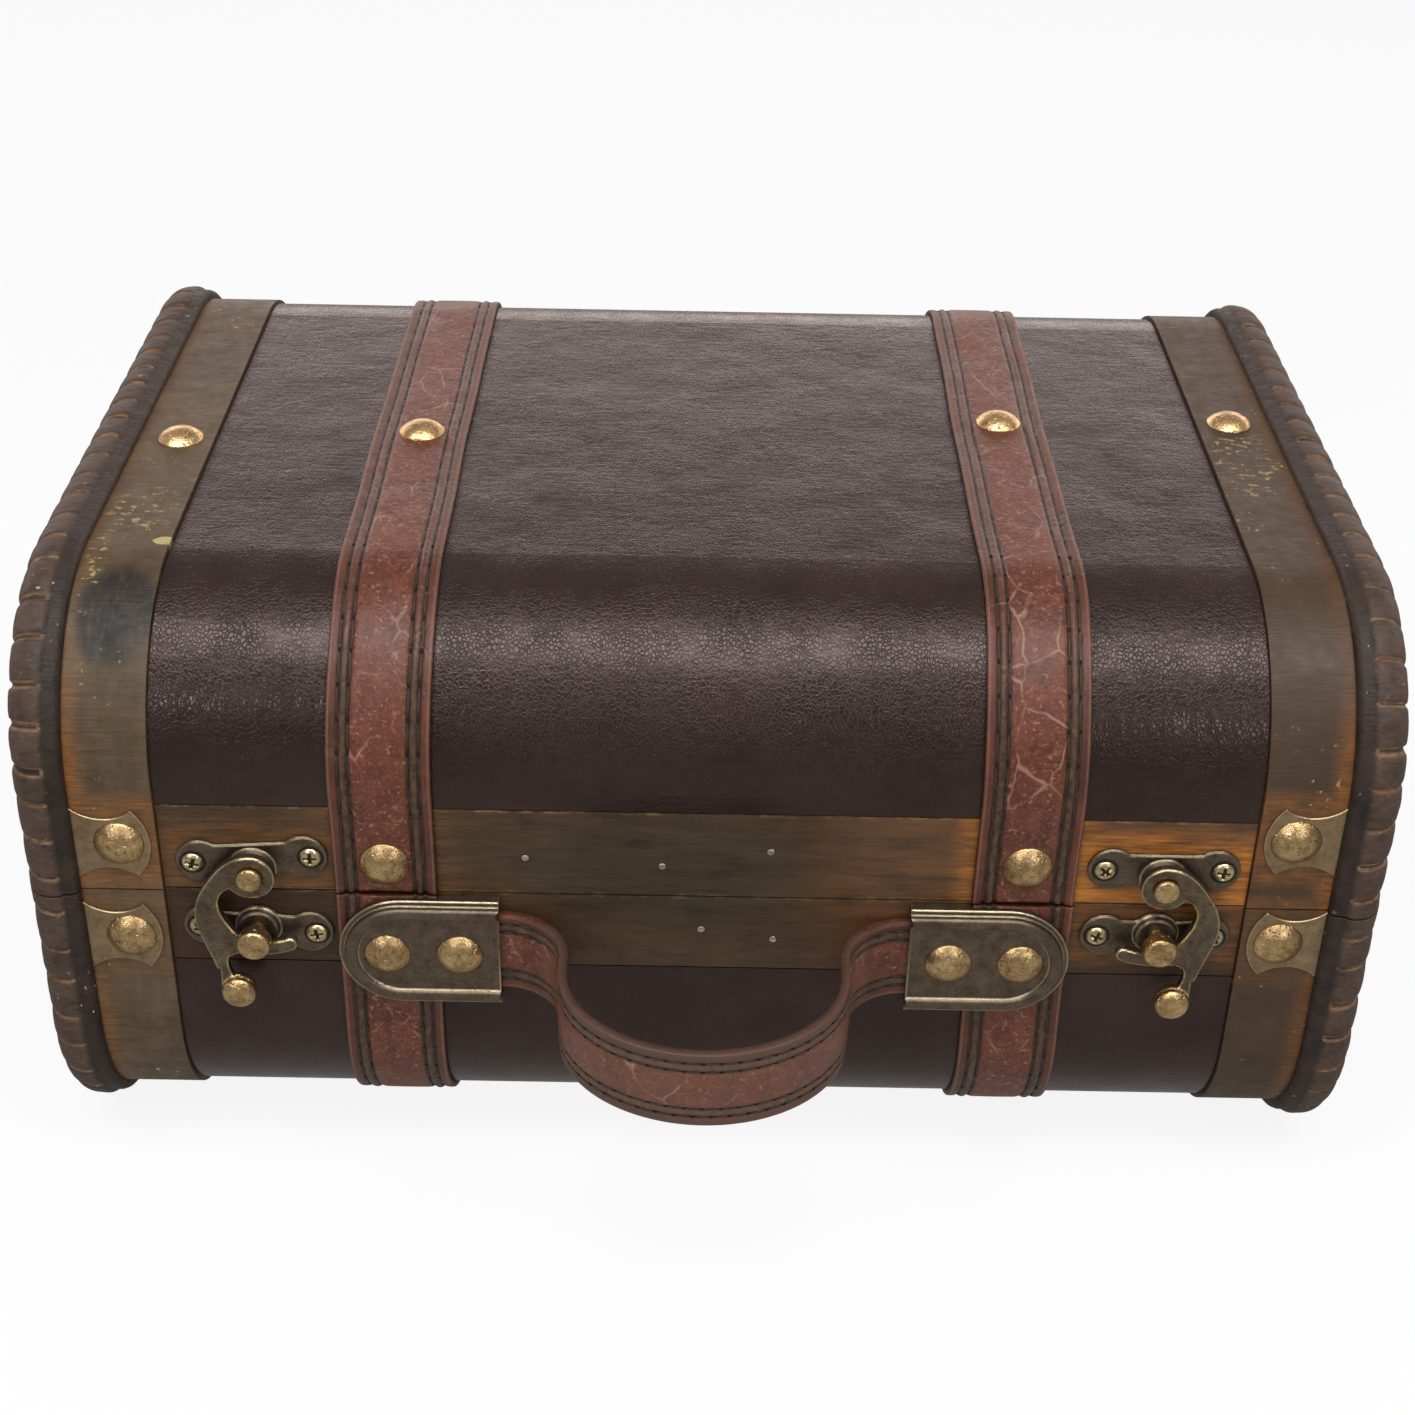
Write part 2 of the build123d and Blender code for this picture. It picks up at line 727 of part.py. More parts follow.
with BuildPart() as rivet:
    dome_head(rivet_radius, rivet_height)
    Cylinder(
        rivet_shank,
        rivet_field + leather_thickness + screw_bite,
        align=(Align.CENTER, Align.CENTER, Align.MAX),
    )
with BuildPart() as rivets:
    with Locations(*rivets_at):
        add(rivet.part)
save(rivets, "handle_rivets")


def handle_ribbon():
    """The handle from above, drawn from its swing axis: flat at the plates, then out and round in an arch."""
    leather_middle = handle_thickness / 2 - handle_root
    root_x = handle_half_span + handle_root_radius
    with BuildLine() as middle:
        for side in (-1, 1):
            ends = Line((side * tab_end, leather_middle), (side * root_x, leather_middle))
            turn_end = (side * handle_half_span, leather_middle + handle_root_radius)
            turn = RadiusArc(ends @ 1, turn_end, side * handle_root_radius)
            Line(turn @ 1, (side * handle_half_span, 0))
        arch_height = handle_reach - handle_root
        EllipticalCenterArc((0, 0), handle_half_span, arch_height, start_angle=0, arc_size=half_turn)
    trace(middle.edges(), line_width=handle_thickness)


# The leather is one strap. It bends where it leaves the plates, so it is cut there: two ends that stay, and
# the arch that swings. The arch ends in a round about the swing axis, and the ends are hollow to match.
swing_plane = Plane(origin=(0, -wall_face - handle_root, handle_z), x_dir=(1, 0, 0), z_dir=(0, 0, -1))
drooped_plane = swing_plane.rotated((handle_droop, 0, 0))
for side, side_name in ((-1, "left"), (1, "right")):
    with BuildPart() as handle_end:
        with BuildSketch(swing_plane):
            handle_ribbon()
        extrude(amount=handle_width / 2, both=True)
        reach = stub_reach - fit_gap
        with BuildSketch(front_plane(fit_gap)):
            with Locations((side * tab_end / 2, handle_z)):
                Rectangle(tab_end, handle_width)
        extrude(amount=reach, mode=Mode.INTERSECT)
        with Locations(Location(Plane(origin=swing_plane.origin, z_dir=(1, 0, 0)))):
            Cylinder(handle_width / 2 + edge_gap, 2 * tab_end, mode=Mode.SUBTRACT)
        drill(rivets_at, rivet_shank, rivet_field)
    save(handle_end, f"handle_end_{side_name}")

with BuildPart() as handle_strap:
    with BuildSketch(drooped_plane):
        handle_ribbon()
    extrude(amount=handle_width / 2, both=True)
    with BuildSketch(Plane(origin=drooped_plane.origin, x_dir=drooped_plane.y_dir, z_dir=(1, 0, 0))):
        Circle(handle_width / 2)
        with Locations((handle_reach / 2, 0)):
            Rectangle(handle_reach, handle_width)
    extrude(amount=tab_end, both=True, mode=Mode.INTERSECT)
save(handle_strap, "handle_strap")


def knuckles(side, lid_part):
    """The curls round the hinge pin: one in the middle on the lid's leaf, one at each end on the base's."""
    curl = hinge_length / 3 - running_gap
    offset = (hinge_length - curl) / 2
    spots = (0,) if lid_part else (-offset, offset)
    return curl, [side * hinge_centre + spot for spot in spots]


def hinge_leaf(side, lid_part, drill_holes):
    """One leaf: a flat plate on the rail, tabs that reach out past the rims, and the curls on their ends."""
    way = 1 if lid_part else -1
    seam_side = seam_height + way * seam_gap / 2
    curl, spots = knuckles(side, lid_part)
    with BuildPart() as leaf:
        with BuildSketch(back_plane(0)):
            with Locations((-side * hinge_centre, seam_side + way * hinge_leaf_height / 2)):
                Rectangle(hinge_length, hinge_leaf_height)
        extrude(amount=hinge_sheet)
        for spot in spots:
            with BuildSketch(back_plane(0)):
                with Locations((-spot, seam_side + way * hinge_tab / 2)):
                    Rectangle(curl, hinge_tab)
            extrude(amount=hinge_stand)
            with Locations(Location((spot, hinge_y, seam_height), (0, 90, 0))):
                Cylinder(knuckle_radius, curl)
        bore = hinge_pin_radius + (fit_gap if lid_part else 0)
        with Locations(Location((side * hinge_centre, hinge_y, seam_height), (0, 90, 0))):
            Cylinder(bore, hinge_length + overrun, mode=Mode.SUBTRACT)
        drill_holes()
    return leaf


for side, side_name in ((-1, "left"), (1, "right")):
    save(hinge_leaf(side, False, drill_base), f"base_hinge_leaf_{side_name}")
    save(hinge_leaf(side, True, drill_lid), f"lid_hinge_leaf_{side_name}")
    with BuildPart() as hinge_pin:
        with Locations(Location((side * hinge_centre, hinge_y, seam_height), (0, 90, 0))):
            Cylinder(hinge_pin_radius, hinge_length + 2 * hinge_pin_end)
    save(hinge_pin, f"hinge_pin_{side_name}")
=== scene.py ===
# %% [markdown]
# # A small suitcase box, dressed in Blender
# The case itself comes packed from CAD: boards, metalwork, hinges and latches already stand in their real places.
# Here each surface gets its finish, and the soft and hand-carved pieces get their true form. Lengths are metres
# in Blender, so every size below is written in millimetres and turned once.

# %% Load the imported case
import bmesh
import bpy
import math
from mathutils import Matrix, Vector


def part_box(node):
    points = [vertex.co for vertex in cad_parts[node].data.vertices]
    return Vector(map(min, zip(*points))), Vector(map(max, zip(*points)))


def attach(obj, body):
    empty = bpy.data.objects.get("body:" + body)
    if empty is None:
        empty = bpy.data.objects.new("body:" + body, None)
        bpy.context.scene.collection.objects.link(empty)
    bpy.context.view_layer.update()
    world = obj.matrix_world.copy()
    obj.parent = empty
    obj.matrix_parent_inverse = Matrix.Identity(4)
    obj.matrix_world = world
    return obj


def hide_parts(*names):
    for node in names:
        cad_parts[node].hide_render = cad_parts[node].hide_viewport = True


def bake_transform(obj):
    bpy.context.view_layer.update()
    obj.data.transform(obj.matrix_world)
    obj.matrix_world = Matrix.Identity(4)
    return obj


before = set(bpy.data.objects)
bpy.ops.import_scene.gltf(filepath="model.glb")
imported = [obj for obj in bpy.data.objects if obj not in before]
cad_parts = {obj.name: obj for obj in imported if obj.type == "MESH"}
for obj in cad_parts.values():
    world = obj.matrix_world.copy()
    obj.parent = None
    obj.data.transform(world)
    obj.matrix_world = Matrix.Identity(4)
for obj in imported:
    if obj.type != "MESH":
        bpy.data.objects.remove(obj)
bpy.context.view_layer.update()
MM = 0.001

# %% [markdown]
# ## Sizes shared by the pieces
# Every layer of the case follows one rounded section: a rectangle with round corners, seen from the side. The
# carved rim is the outermost layer, and the bands, straps and leather lie at fixed depths inside it. Taking the
# section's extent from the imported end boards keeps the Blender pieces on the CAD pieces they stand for.

# %% The case's section
low_end, high_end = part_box("base_end_left")[0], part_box("lid_end_left")[1]
MIDDLE_Y = (low_end.y + high_end.y) / 2
HALF_DEPTH = (high_end.y - low_end.y) / 2
HEIGHT = high_end.z
BASE_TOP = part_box("base_end_left")[1].z
LID_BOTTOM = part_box("lid_end_left")[0].z
SEAM = (BASE_TOP + LID_BOTTOM) / 2
RIM_CORNER = 42.5 * MM
HALF_LENGTH = 150 * MM
BOARD = 12 * MM
WALL_INSET = 4.5 * MM
WALL_Y = MIDDLE_Y - HALF_DEPTH + WALL_INSET
print("section:", round(2 * HALF_DEPTH / MM, 1), "x", round(HEIGHT / MM, 1), "mm, seam at", round(SEAM / MM, 2))


def section_path(inset, lid, step):
    """Stations round the section from the front seam over (lid) or under (base) to the back: point, normal, run."""
    half, corner = HALF_DEPTH - inset, RIM_CORNER - inset
    seam = LID_BOTTOM if lid else BASE_TOP
    wall = (HEIGHT - inset - seam if lid else seam - inset) - corner
    flat = 2 * (half - corner)
    quarter = math.pi / 2 * corner
    spans = (wall, quarter, flat, quarter, wall)
    total = sum(spans)
    count = max(2, round(total / step))
    way = 1 if lid else -1
    stations = []
    for index in range(count + 1):
        run = total * index / count
        rest = run
        for span, length in enumerate(spans):
            if rest <= length or span == 4:
                break
            rest -= length
        if span in (0, 4):
            side = -1 if span == 0 else 1
            rise = rest if span == 0 else wall - rest
            point, normal = (side * half, rise), (side, 0)
        elif span in (1, 3):
            turn = rest / corner
            start = -1 if span == 1 else 1
            angle = turn if span == 1 else math.pi / 2 - turn
            normal = (start * math.cos(angle), math.sin(angle))
            point = (start * (half - corner) + corner * normal[0], wall + corner * normal[1])
        else:
            point, normal = (-flat / 2 + rest, wall + corner), (0, 1)
        place = Vector((0, MIDDLE_Y + point[0], seam + way * point[1]))
        stations.append((place, Vector((0, normal[0], way * normal[1])), run))
    return stations, total


# %% [markdown]
# ## Small helpers
# A colour is written as the sRGB hex that a painter would pick and turned to linear by one function. A second
# function adds a shader or geometry node with its settings and its links, so that each recipe reads top down.

# %% Colour, nodes and meshes
def paint(code):
    """The linear RGBA of an sRGB hex colour."""
    channels = [int(code[i : i + 2], 16) / 255 for i in (0, 2, 4)]
    linear = [c / 12.92 if c <= 0.04045 else ((c + 0.055) / 1.055) ** 2.4 for c in channels]
    return (*linear, 1)


def add(tree, kind, inputs=None, **settings):
    """Adds a node: settings are its own properties, inputs are values, nodes or sockets for its sockets."""
    node = tree.nodes.new(kind)
    for name, value in settings.items():
        setattr(node, name, value)
    for key, value in (inputs or {}).items():
        if isinstance(value, bpy.types.Node):
            value = value.outputs[0]
        if isinstance(value, bpy.types.NodeSocket):
            tree.links.new(value, node.inputs[key])
        else:
            node.inputs[key].default_value = value
    return node


def calc(tree, operation, *values, clamp=False):
    """One step of arithmetic on values or sockets."""
    return add(tree, "ShaderNodeMath", dict(enumerate(values)), operation=operation, use_clamp=clamp)


def product(tree, share, *others):
    """Shares multiplied with each other."""
    for other in others:
        share = calc(tree, "MULTIPLY", share, other)
    return share


def most(tree, share, *others):
    """The largest of some shares."""
    for other in others:
        share = calc(tree, "MAXIMUM", share, other)
    return share


def ramp(tree, value, low, high, out_low=0.0, out_high=1.0):
    """Spreads the range low to high over out_low to out_high, smoothly."""
    return add(tree, "ShaderNodeMapRange", {0: value, 1: low, 2: high, 3: out_low, 4: out_high},
               interpolation_type="SMOOTHSTEP")


def place_mesh(name, mesh):
    """An object at the origin for a mesh that already has its place."""
    piece = bpy.data.objects.new(name, mesh)
    bpy.context.scene.collection.objects.link(piece)
    return piece


def shade_smooth(mesh, smooth=True):
    """Shades every face of a mesh alike."""
    mesh.polygons.foreach_set("use_smooth", [smooth] * len(mesh.polygons))


def mesh_piece(name, points, faces, materials, smooth=True, edges=()):
    """A mesh object at the origin with its place in its mesh."""
    mesh = bpy.data.meshes.new(name)
    mesh.from_pydata([tuple(p) for p in points], edges, faces)
    shade_smooth(mesh, smooth)
    for material in materials:
        mesh.materials.append(material)
    return place_mesh(name, mesh)


def close_up(piece):
    """Ends a carried profile: its walls shade smooth, its end faces become triangles, and all face outwards."""
    shape = bmesh.new()
    shape.from_mesh(piece.data)
    for face in shape.faces:
        face.smooth = len(face.verts) == 4
    bmesh.ops.triangulate(shape, faces=[f for f in shape.faces if len(f.verts) > 4])
    bmesh.ops.recalc_face_normals(shape, faces=shape.faces)
    shape.to_mesh(piece.data)
    shape.free()
    return piece


def set_attribute(piece, name, values, kind="FLOAT"):
    """Stores one value a vertex, which the finishes and the geometry trees read by name."""
    layer = piece.data.attributes.new(name, kind, "POINT")
    layer.data.foreach_set("vector" if kind == "FLOAT_VECTOR" else "value", values)


def settle(piece):
    """Turns a piece with live modifiers into a plain mesh with the same name."""
    graph = bpy.context.evaluated_depsgraph_get()
    plain = bpy.data.meshes.new_from_object(piece.evaluated_get(graph), depsgraph=graph)
    piece.modifiers.clear()
    old = piece.data
    piece.data = plain
    bpy.data.meshes.remove(old)
    return piece


# %% [markdown]
# ## Camera, light and floor
# The photograph looks down at the case from the front by about 31 degrees, from about 70 cm away. One wide soft
# box overhead draws the broad highlight along the rounded front of the lid, and two small ones, left and right like
# windows, give the metal its sparks. A surround that only glossy rays see, bright low down at the back and dim
# elsewhere, is what the leather's top reflects. The camera sees plain white, and the floor keeps a soft shadow.

# %% Camera
PITCH, YAW, ROLL = 0.536, 0.004, 0.02
FOCAL = 2264.6
FRAME_SIZE = 1415
SENSOR = 36
LENS_RISE = 107.5
STAND = Vector((-2.4, -500.4, 394.7))
forward = Vector((math.sin(YAW) * math.cos(PITCH), math.cos(YAW) * math.cos(PITCH), -math.sin(PITCH)))
right = Vector((math.cos(YAW), -math.sin(YAW), 0))
upward = right.cross(forward)
turned_right = math.cos(ROLL) * right + math.sin(ROLL) * upward
turned_up = -math.sin(ROLL) * right + math.cos(ROLL) * upward
camera_data = bpy.data.cameras.new("camera")
camera_data.sensor_width = SENSOR
camera_data.lens = FOCAL / FRAME_SIZE * camera_data.sensor_width
camera_data.shift_y = -LENS_RISE / FRAME_SIZE
camera = bpy.data.objects.new("camera", camera_data)
camera_turn = Matrix((turned_right, turned_up, -forward)).transposed().to_4x4()
camera.matrix_world = Matrix.Translation(STAND * MM + Vector((0, MIDDLE_Y, 0))) @ camera_turn
bpy.context.scene.collection.objects.link(camera)
bpy.context.scene.camera = camera
print("lens:", round(camera_data.lens, 2), "mm")

# %% Light and world
scene = bpy.context.scene
scene.view_settings.view_transform = "Standard"
TARGET = Vector((0, MIDDLE_Y, 0.09))


def soft_box(name, place, size, power):
    """A rectangular area lamp that looks at the case, and that the camera doesn't see."""
    lamp = bpy.data.lights.new(name, "AREA")
    lamp.shape = "RECTANGLE"
    lamp.size, lamp.size_y = size
    lamp.energy = power
    holder = bpy.data.objects.new(name, lamp)
    holder.location = place
    holder.rotation_euler = (TARGET - Vector(place)).to_track_quat("-Z", "Y").to_euler()
    holder.visible_camera = False
    scene.collection.objects.link(holder)


for name, place, size, power in (
    ("overhead_box", (0, MIDDLE_Y - 0.51, 1.31), (1.7, 0.56), 17.5),
    ("left_window_box", (-0.6, -1.22, 0.72), (0.36, 0.2), 2.5),
    ("right_window_box", (0.6, -1.22, 0.6), (0.36, 0.2), 1.9),
):
    soft_box(name, place, size, power)
world = bpy.data.worlds.new("white_surround")
scene.world = world
world.use_nodes = True
surround = world.node_tree
surround.nodes.clear()
rays = add(surround, "ShaderNodeLightPath")
heading = add(surround, "ShaderNodeSeparateXYZ", {0: add(surround, "ShaderNodeTexCoord").outputs["Generated"]})
low_down = product(surround, ramp(surround, heading.outputs["Z"], 0.5, 0.12),
                   ramp(surround, heading.outputs["Z"], 0.0, 0.13))
behind = ramp(surround, heading.outputs["Y"], -0.3, 0.2)
ceiling = ramp(surround, heading.outputs["Z"], 0.3, 0.75, 0.16, 0.42)
glow = calc(surround, "MULTIPLY_ADD", product(surround, low_down, behind), 3.4, ceiling)
plain_light = add(surround, "ShaderNodeBackground", {"Color": paint("ffffff"), "Strength": 0.41})
mirrored = add(surround, "ShaderNodeBackground", {"Color": paint("fff1ed"), "Strength": glow})
shown = add(surround, "ShaderNodeBackground", {"Color": paint("ffffff"), "Strength": 1.0})
glossy = calc(surround, "MAXIMUM", rays.outputs["Is Glossy Ray"], rays.outputs["Is Transmission Ray"])
lit = add(surround, "ShaderNodeMixShader", {0: glossy, 1: plain_light, 2: mirrored})
seen = add(surround, "ShaderNodeMixShader", {0: rays.outputs["Is Camera Ray"], 1: lit, 2: shown})
add(surround, "ShaderNodeOutputWorld", {"Surface": seen})

# %% Floor
floor_paint = bpy.data.materials.new("white_table_paint")
floor_paint.use_nodes = True
tree = floor_paint.node_tree
tree.nodes.clear()
matt = add(tree, "ShaderNodeBsdfDiffuse", {"Color": paint("e6e6e6")})
bright = add(tree, "ShaderNodeEmission", {"Color": paint("ffffff"), "Strength": 1.0})
dim = add(tree, "ShaderNodeEmission", {"Color": paint("fffaf2"), "Strength": 0.3})
floor_rays = add(tree, "ShaderNodeLightPath")
shown_share = product(tree, floor_rays.outputs["Is Camera Ray"], 0.88)
mirror_share = product(tree, floor_rays.outputs["Is Glossy Ray"], 0.85)
table = add(tree, "ShaderNodeMixShader", {0: shown_share, 1: matt, 2: bright})
table = add(tree, "ShaderNodeMixShader", {0: mirror_share, 1: table, 2: dim})
add(tree, "ShaderNodeOutputMaterial", {"Surface": table})
REACH = 3
corners = [(-REACH, -REACH, 0), (REACH, -REACH, 0), (REACH, REACH, 0), (-REACH, REACH, 0)]
floor = mesh_piece("table", corners, [(0, 1, 2, 3)], [floor_paint], False)

# %% [markdown]
# ## Finishes
# Each finish starts as one Principled shader for the real material, and a few patterns whose scale comes from a
# real size. Patterns are read in Object coordinates, which are the case's own metres, so neighbouring pieces
# agree and nothing slides when the lid opens.


# %% A finish to start from
def new_finish(name, roughness, metallic=0.0, ior=1.5, **sockets):
    """A material named for what it is, its node tree, its shader and its place in the case's own metres."""
    material = bpy.data.materials.new(name)
    material.use_nodes = True
    tree = material.node_tree
    tree.nodes.clear()
    shader = add(tree, "ShaderNodeBsdfPrincipled", {"Metallic": metallic, "Roughness": roughness})
    if not metallic:
        shader.inputs["IOR"].default_value = ior
    for socket, value in sockets.items():
        shader.inputs[socket.replace("_", " ")].default_value = value
    add(tree, "ShaderNodeOutputMaterial", {"Surface": shader})
    place = add(tree, "ShaderNodeTexCoord").outputs["Object"]
    return material, tree, shader, place


def stretched(tree, place, scale, turn=(0, 0, 0)):
    """The place, squeezed or drawn out along its axes, so that a round pattern becomes grain."""
    return add(tree, "ShaderNodeMapping", {"Vector": place, "Scale": scale, "Rotation": turn})


def clouds(tree, place, size_mm, detail=2.0, rough=0.5, low=0.35, high=0.65):
    """Soft noise whose blobs are about this many millimetres across, spread over 0 to 1."""
    noise = add(tree, "ShaderNodeTexNoise",
                {"Vector": place, "Scale": 1 / (size_mm * MM), "Detail": detail, "Roughness": rough})
    return add(tree, "ShaderNodeMapRange", {0: noise, 1: low, 2: high})


def blend_colour(tree, factor, first, second):
    """One colour over another by a factor, both given as hex or as a socket."""
    mix = add(tree, "ShaderNodeMix", data_type="RGBA")
    for key, value in ((0, factor), (6, first), (7, second)):
        if isinstance(value, str):
            value = paint(value)
        if isinstance(value, bpy.types.Node):
            value = value.outputs[0]
        if isinstance(value, bpy.types.NodeSocket):
            tree.links.new(value, mix.inputs[key])
        else:
            mix.inputs[key].default_value = value
    return mix.outputs[2]


def emboss(tree, height, depth_mm, shader, strength=1.0, under=None):
    """Bump from a 0 to 1 height that is this many millimetres deep."""
    inputs = {"Height": height, "Distance": depth_mm * MM, "Strength": strength}
    if under is not None:
        inputs["Normal"] = under
    tree.links.new(add(tree, "ShaderNodeBump", inputs).outputs[0], shader.inputs["Normal"])


def coats(tree, colour, *layers):
    """Thin coats over a colour, each with where it lies, how strong it is there, and its tone."""
    for share, strength, tone in layers:
        colour = blend_colour(tree, calc(tree, "MULTIPLY", share, strength), colour, tone)
    return colour


def dress(tree, shader, colour, roughness=None):
    """Gives the shader the colour that a recipe ends in, and the roughness where it varies."""
    tree.links.new(colour, shader.inputs["Base Color"])
    if roughness is not None:
        tree.links.new(roughness.outputs[0], shader.inputs["Roughness"])


def strayed(tree, place, scale, reach):
    """The place pushed about by noise, so that what is drawn on it is no longer straight."""
    push = add(tree, "ShaderNodeTexNoise", {"Vector": place, "Scale": scale, "Detail": 3.0})
    push = add(tree, "ShaderNodeVectorMath", {0: push.outputs["Color"], 1: [reach] * 3}, operation="MULTIPLY")
    return add(tree, "ShaderNodeVectorMath", {0: place, 1: push}, operation="ADD")


def net_lines(tree, place, stretch, mesh_mm, width):
    """1 on the lines of an irregular net whose cells are about this many millimetres across."""
    net = add(tree, "ShaderNodeTexVoronoi",
              {"Vector": stretched(tree, place, stretch), "Scale": 1 / (mesh_mm * MM)}, feature="DISTANCE_TO_EDGE")
    return ramp(tree, net, width, 0.0)


# %% [markdown]
# ### Leatherette
# The case is covered in PU leatherette: cloth with a coloured skin that was pressed with a leather grain. The
# grain is a net of fine grooves, 0.8 mm from one to the next, and where the sheet is pulled round the front corner
# the grooves open and turn dull between glossy pebbles. The grooves are painted near black as shade, most where
# they open. The lid's top has fine sideways creases too, painted a little lighter as a highlight. The skin is
# almost black brown: what the eye takes for its colour is mostly the gloss. One noise would look like stone, so
# the net and patterns of other sizes are added into one height, written in millimetres.

# %% Leatherette
leatherette, tree, shader, place = new_finish("pu_leatherette_black_brown", 0.34, Specular_Tint=paint("ffe8e2"))
height = add(tree, "ShaderNodeSeparateXYZ", {0: place}).outputs["Z"]
grooves = net_lines(tree, strayed(tree, place, 1 / (1.6 * MM), MM), (1, 0.78, 0.78), 0.8, 0.2)
creases = clouds(tree, stretched(tree, place, (0.3, 1, 1), (0, 0, 0.12)), 1.3, 3.0, 0.62, 0.3, 0.7)
cracks = clouds(tree, stretched(tree, place, (1, 0.4, 0.4), (0.1, 0.2, 0)), 1.5, 2.0, 0.6, 0.32, 0.68)
folds = clouds(tree, stretched(tree, place, (1, 0.6, 0.6), (0.3, 0.1, 0.3)), 7, 3.0, 0.6, 0.3, 0.7)
stretch_patches = clouds(tree, place, 13, 3.0, 0.6, 0.32, 0.6)
pulled = product(tree, ramp(tree, height, 104 * MM, 122 * MM), ramp(tree, height, 148 * MM, 144 * MM),
                 calc(tree, "MULTIPLY_ADD", stretch_patches, 0.75, 0.25))
relief = product(tree, grooves, calc(tree, "MULTIPLY_ADD", pulled, -0.05, -0.005))
# each pattern's height in millimetres: what the pull adds to it, and what it has everywhere
for pattern, by_pull, everywhere in ((cracks, -0.05, -0.012), (creases, -0.01, 0.035), (folds, 0.07, 0.03)):
    relief = calc(tree, "MULTIPLY_ADD", pattern, calc(tree, "MULTIPLY_ADD", pulled, by_pull, everywhere), relief)
relief = calc(tree, "MULTIPLY_ADD", clouds(tree, place, 26, 2.0, 0.5, 0.25, 0.75), 0.3, relief)
emboss(tree, relief, 1.0, shader)
skin = blend_colour(tree, clouds(tree, place, 30, 4.0, 0.65), "1c120f", "2a1c18")
# the grooves are painted near black as shade, most where the grain opens
open_groove_shade = calc(tree, "MULTIPLY_ADD", pulled, 0.7, 0.1)
# the creases are painted a little lighter: a painted highlight on their ridges
skin = coats(tree, skin, (creases, 0.25, "362720"), (grooves, open_groove_shade, "0d0806"))
worn = clouds(tree, place, 9, 4.0, 0.65, 0.3, 0.7)
open_grain = product(tree, grooves, calc(tree, "MULTIPLY_ADD", pulled, 0.25, 0.04))
dress(tree, shader, skin, calc(tree, "ADD", ramp(tree, worn, 0, 1, 0.17, 0.26), open_grain))

# %% [markdown]
# ### Strap leather
# The straps are split leather, dyed red brown and waxed. Wax leaves fine pale flecks and a few long scratches,
# the dye is uneven, and the welt between the two seams of each edge is dark olive brown, more so on the front
# than on the top. A thin pale line on each edge's shoulder is a painted highlight, and the sides and underside
# are painted dark as shade. The straps carry their own attribute, how far a point is from the nearest long edge,
# so welt, margins and seams follow the strap round the case.

# %% Strap leather and its thread
STITCH_ROWS = (2.5, 4.85)
strap_leather, tree, shader, place = new_finish("waxed_split_leather_red_brown", 0.46, ior=1.45)
edge_way, raised = [add(tree, "ShaderNodeAttribute", attribute_name=name, attribute_type="GEOMETRY").outputs["Fac"]
                    for name in ("edge_distance", "top_side")]
coordinates = add(tree, "ShaderNodeSeparateXYZ", {0: place})
on_front = ramp(tree, coordinates.outputs["Z"], 147 * MM, 128 * MM)
on_handle = ramp(tree, coordinates.outputs["Y"], WALL_Y - 4 * MM, WALL_Y - 8 * MM)
uneven = clouds(tree, place, 13, 4.0, 0.66, 0.3, 0.7)
fine = clouds(tree, place, 1.5, 4.0, 0.7, 0.25, 0.75)
mottle = clouds(tree, stretched(tree, place, (1, 0.7, 0.7)), 2.4, 4.0, 0.72, 0.36, 0.64)
speckle = clouds(tree, place, 0.8, 3.0, 0.7, 0.5, 0.75)
dull_patches = clouds(tree, place, 5, 3.0, 0.6, 0.45, 0.75)
flecks = clouds(tree, place, 1.25, 2.0, 0.6, 0.6, 0.7)
scratches = product(tree, net_lines(tree, strayed(tree, place, 70, 7 * MM), (1, 0.7, 0.6), 9, 0.035),
                    clouds(tree, place, 15, 3.0, 0.6, 0.5, 0.62))
margin = product(tree, ramp(tree, edge_way, 2.5 * MM, 2.1 * MM), raised)
welt = product(tree, ramp(tree, edge_way, 2.3 * MM, 2.8 * MM), ramp(tree, edge_way, 5.2 * MM, 4.6 * MM),
               raised, calc(tree, "MULTIPLY_ADD", on_front, 0.5, 0.35))
streaky = clouds(tree, stretched(tree, place, (1, 0.5, 0.5)), 1.1, 3.0, 0.7, 0.3, 0.7)
row_patches = clouds(tree, place, 1.3, 3.0, 0.7, 0.3, 0.6)
# the leather along the seam rows is darker, in patches
off_rows = [calc(tree, "ABSOLUTE", calc(tree, "SUBTRACT", edge_way, row * MM)) for row in STITCH_ROWS]
rows = most(tree, *[ramp(tree, off_row, 0.75 * MM, 0.2 * MM) for off_row in off_rows])
rows = product(tree, rows, raised, calc(tree, "MULTIPLY_ADD", row_patches, 0.5, 0.5))
# a thin pale line on the shoulder of each edge: a painted highlight
edge_highlight = product(tree, ramp(tree, edge_way, 0.95 * MM, 0.6 * MM), ramp(tree, edge_way, 0.2 * MM, 0.5 * MM), raised)
burnished = product(tree, ramp(tree, edge_way, 2.3 * MM, 1.2 * MM), on_handle)
hide = coats(tree, blend_colour(tree, uneven, "431c10", "63301f"), (mottle, 0.65, "753d25"), (fine, 0.35, "35170d"),
             (speckle, 0.5, "8f5f47"), (dull_patches, 0.5, "3c1c11"), (flecks, 0.45, "a07865"),
             (scratches, 0.5, "a98371"), (margin, 0.85, blend_colour(tree, uneven, "371f14", "62301d")))
hide = blend_colour(tree, welt, hide, blend_colour(tree, streaky, "1c130d", "57422f"))
hide = coats(tree, hide, (rows, 0.85, "1b100b"), (edge_highlight, 0.25, "93705b"), (burnished, 0.75, "37271f"),
             (on_handle, 0.25, "7a5c4c"))
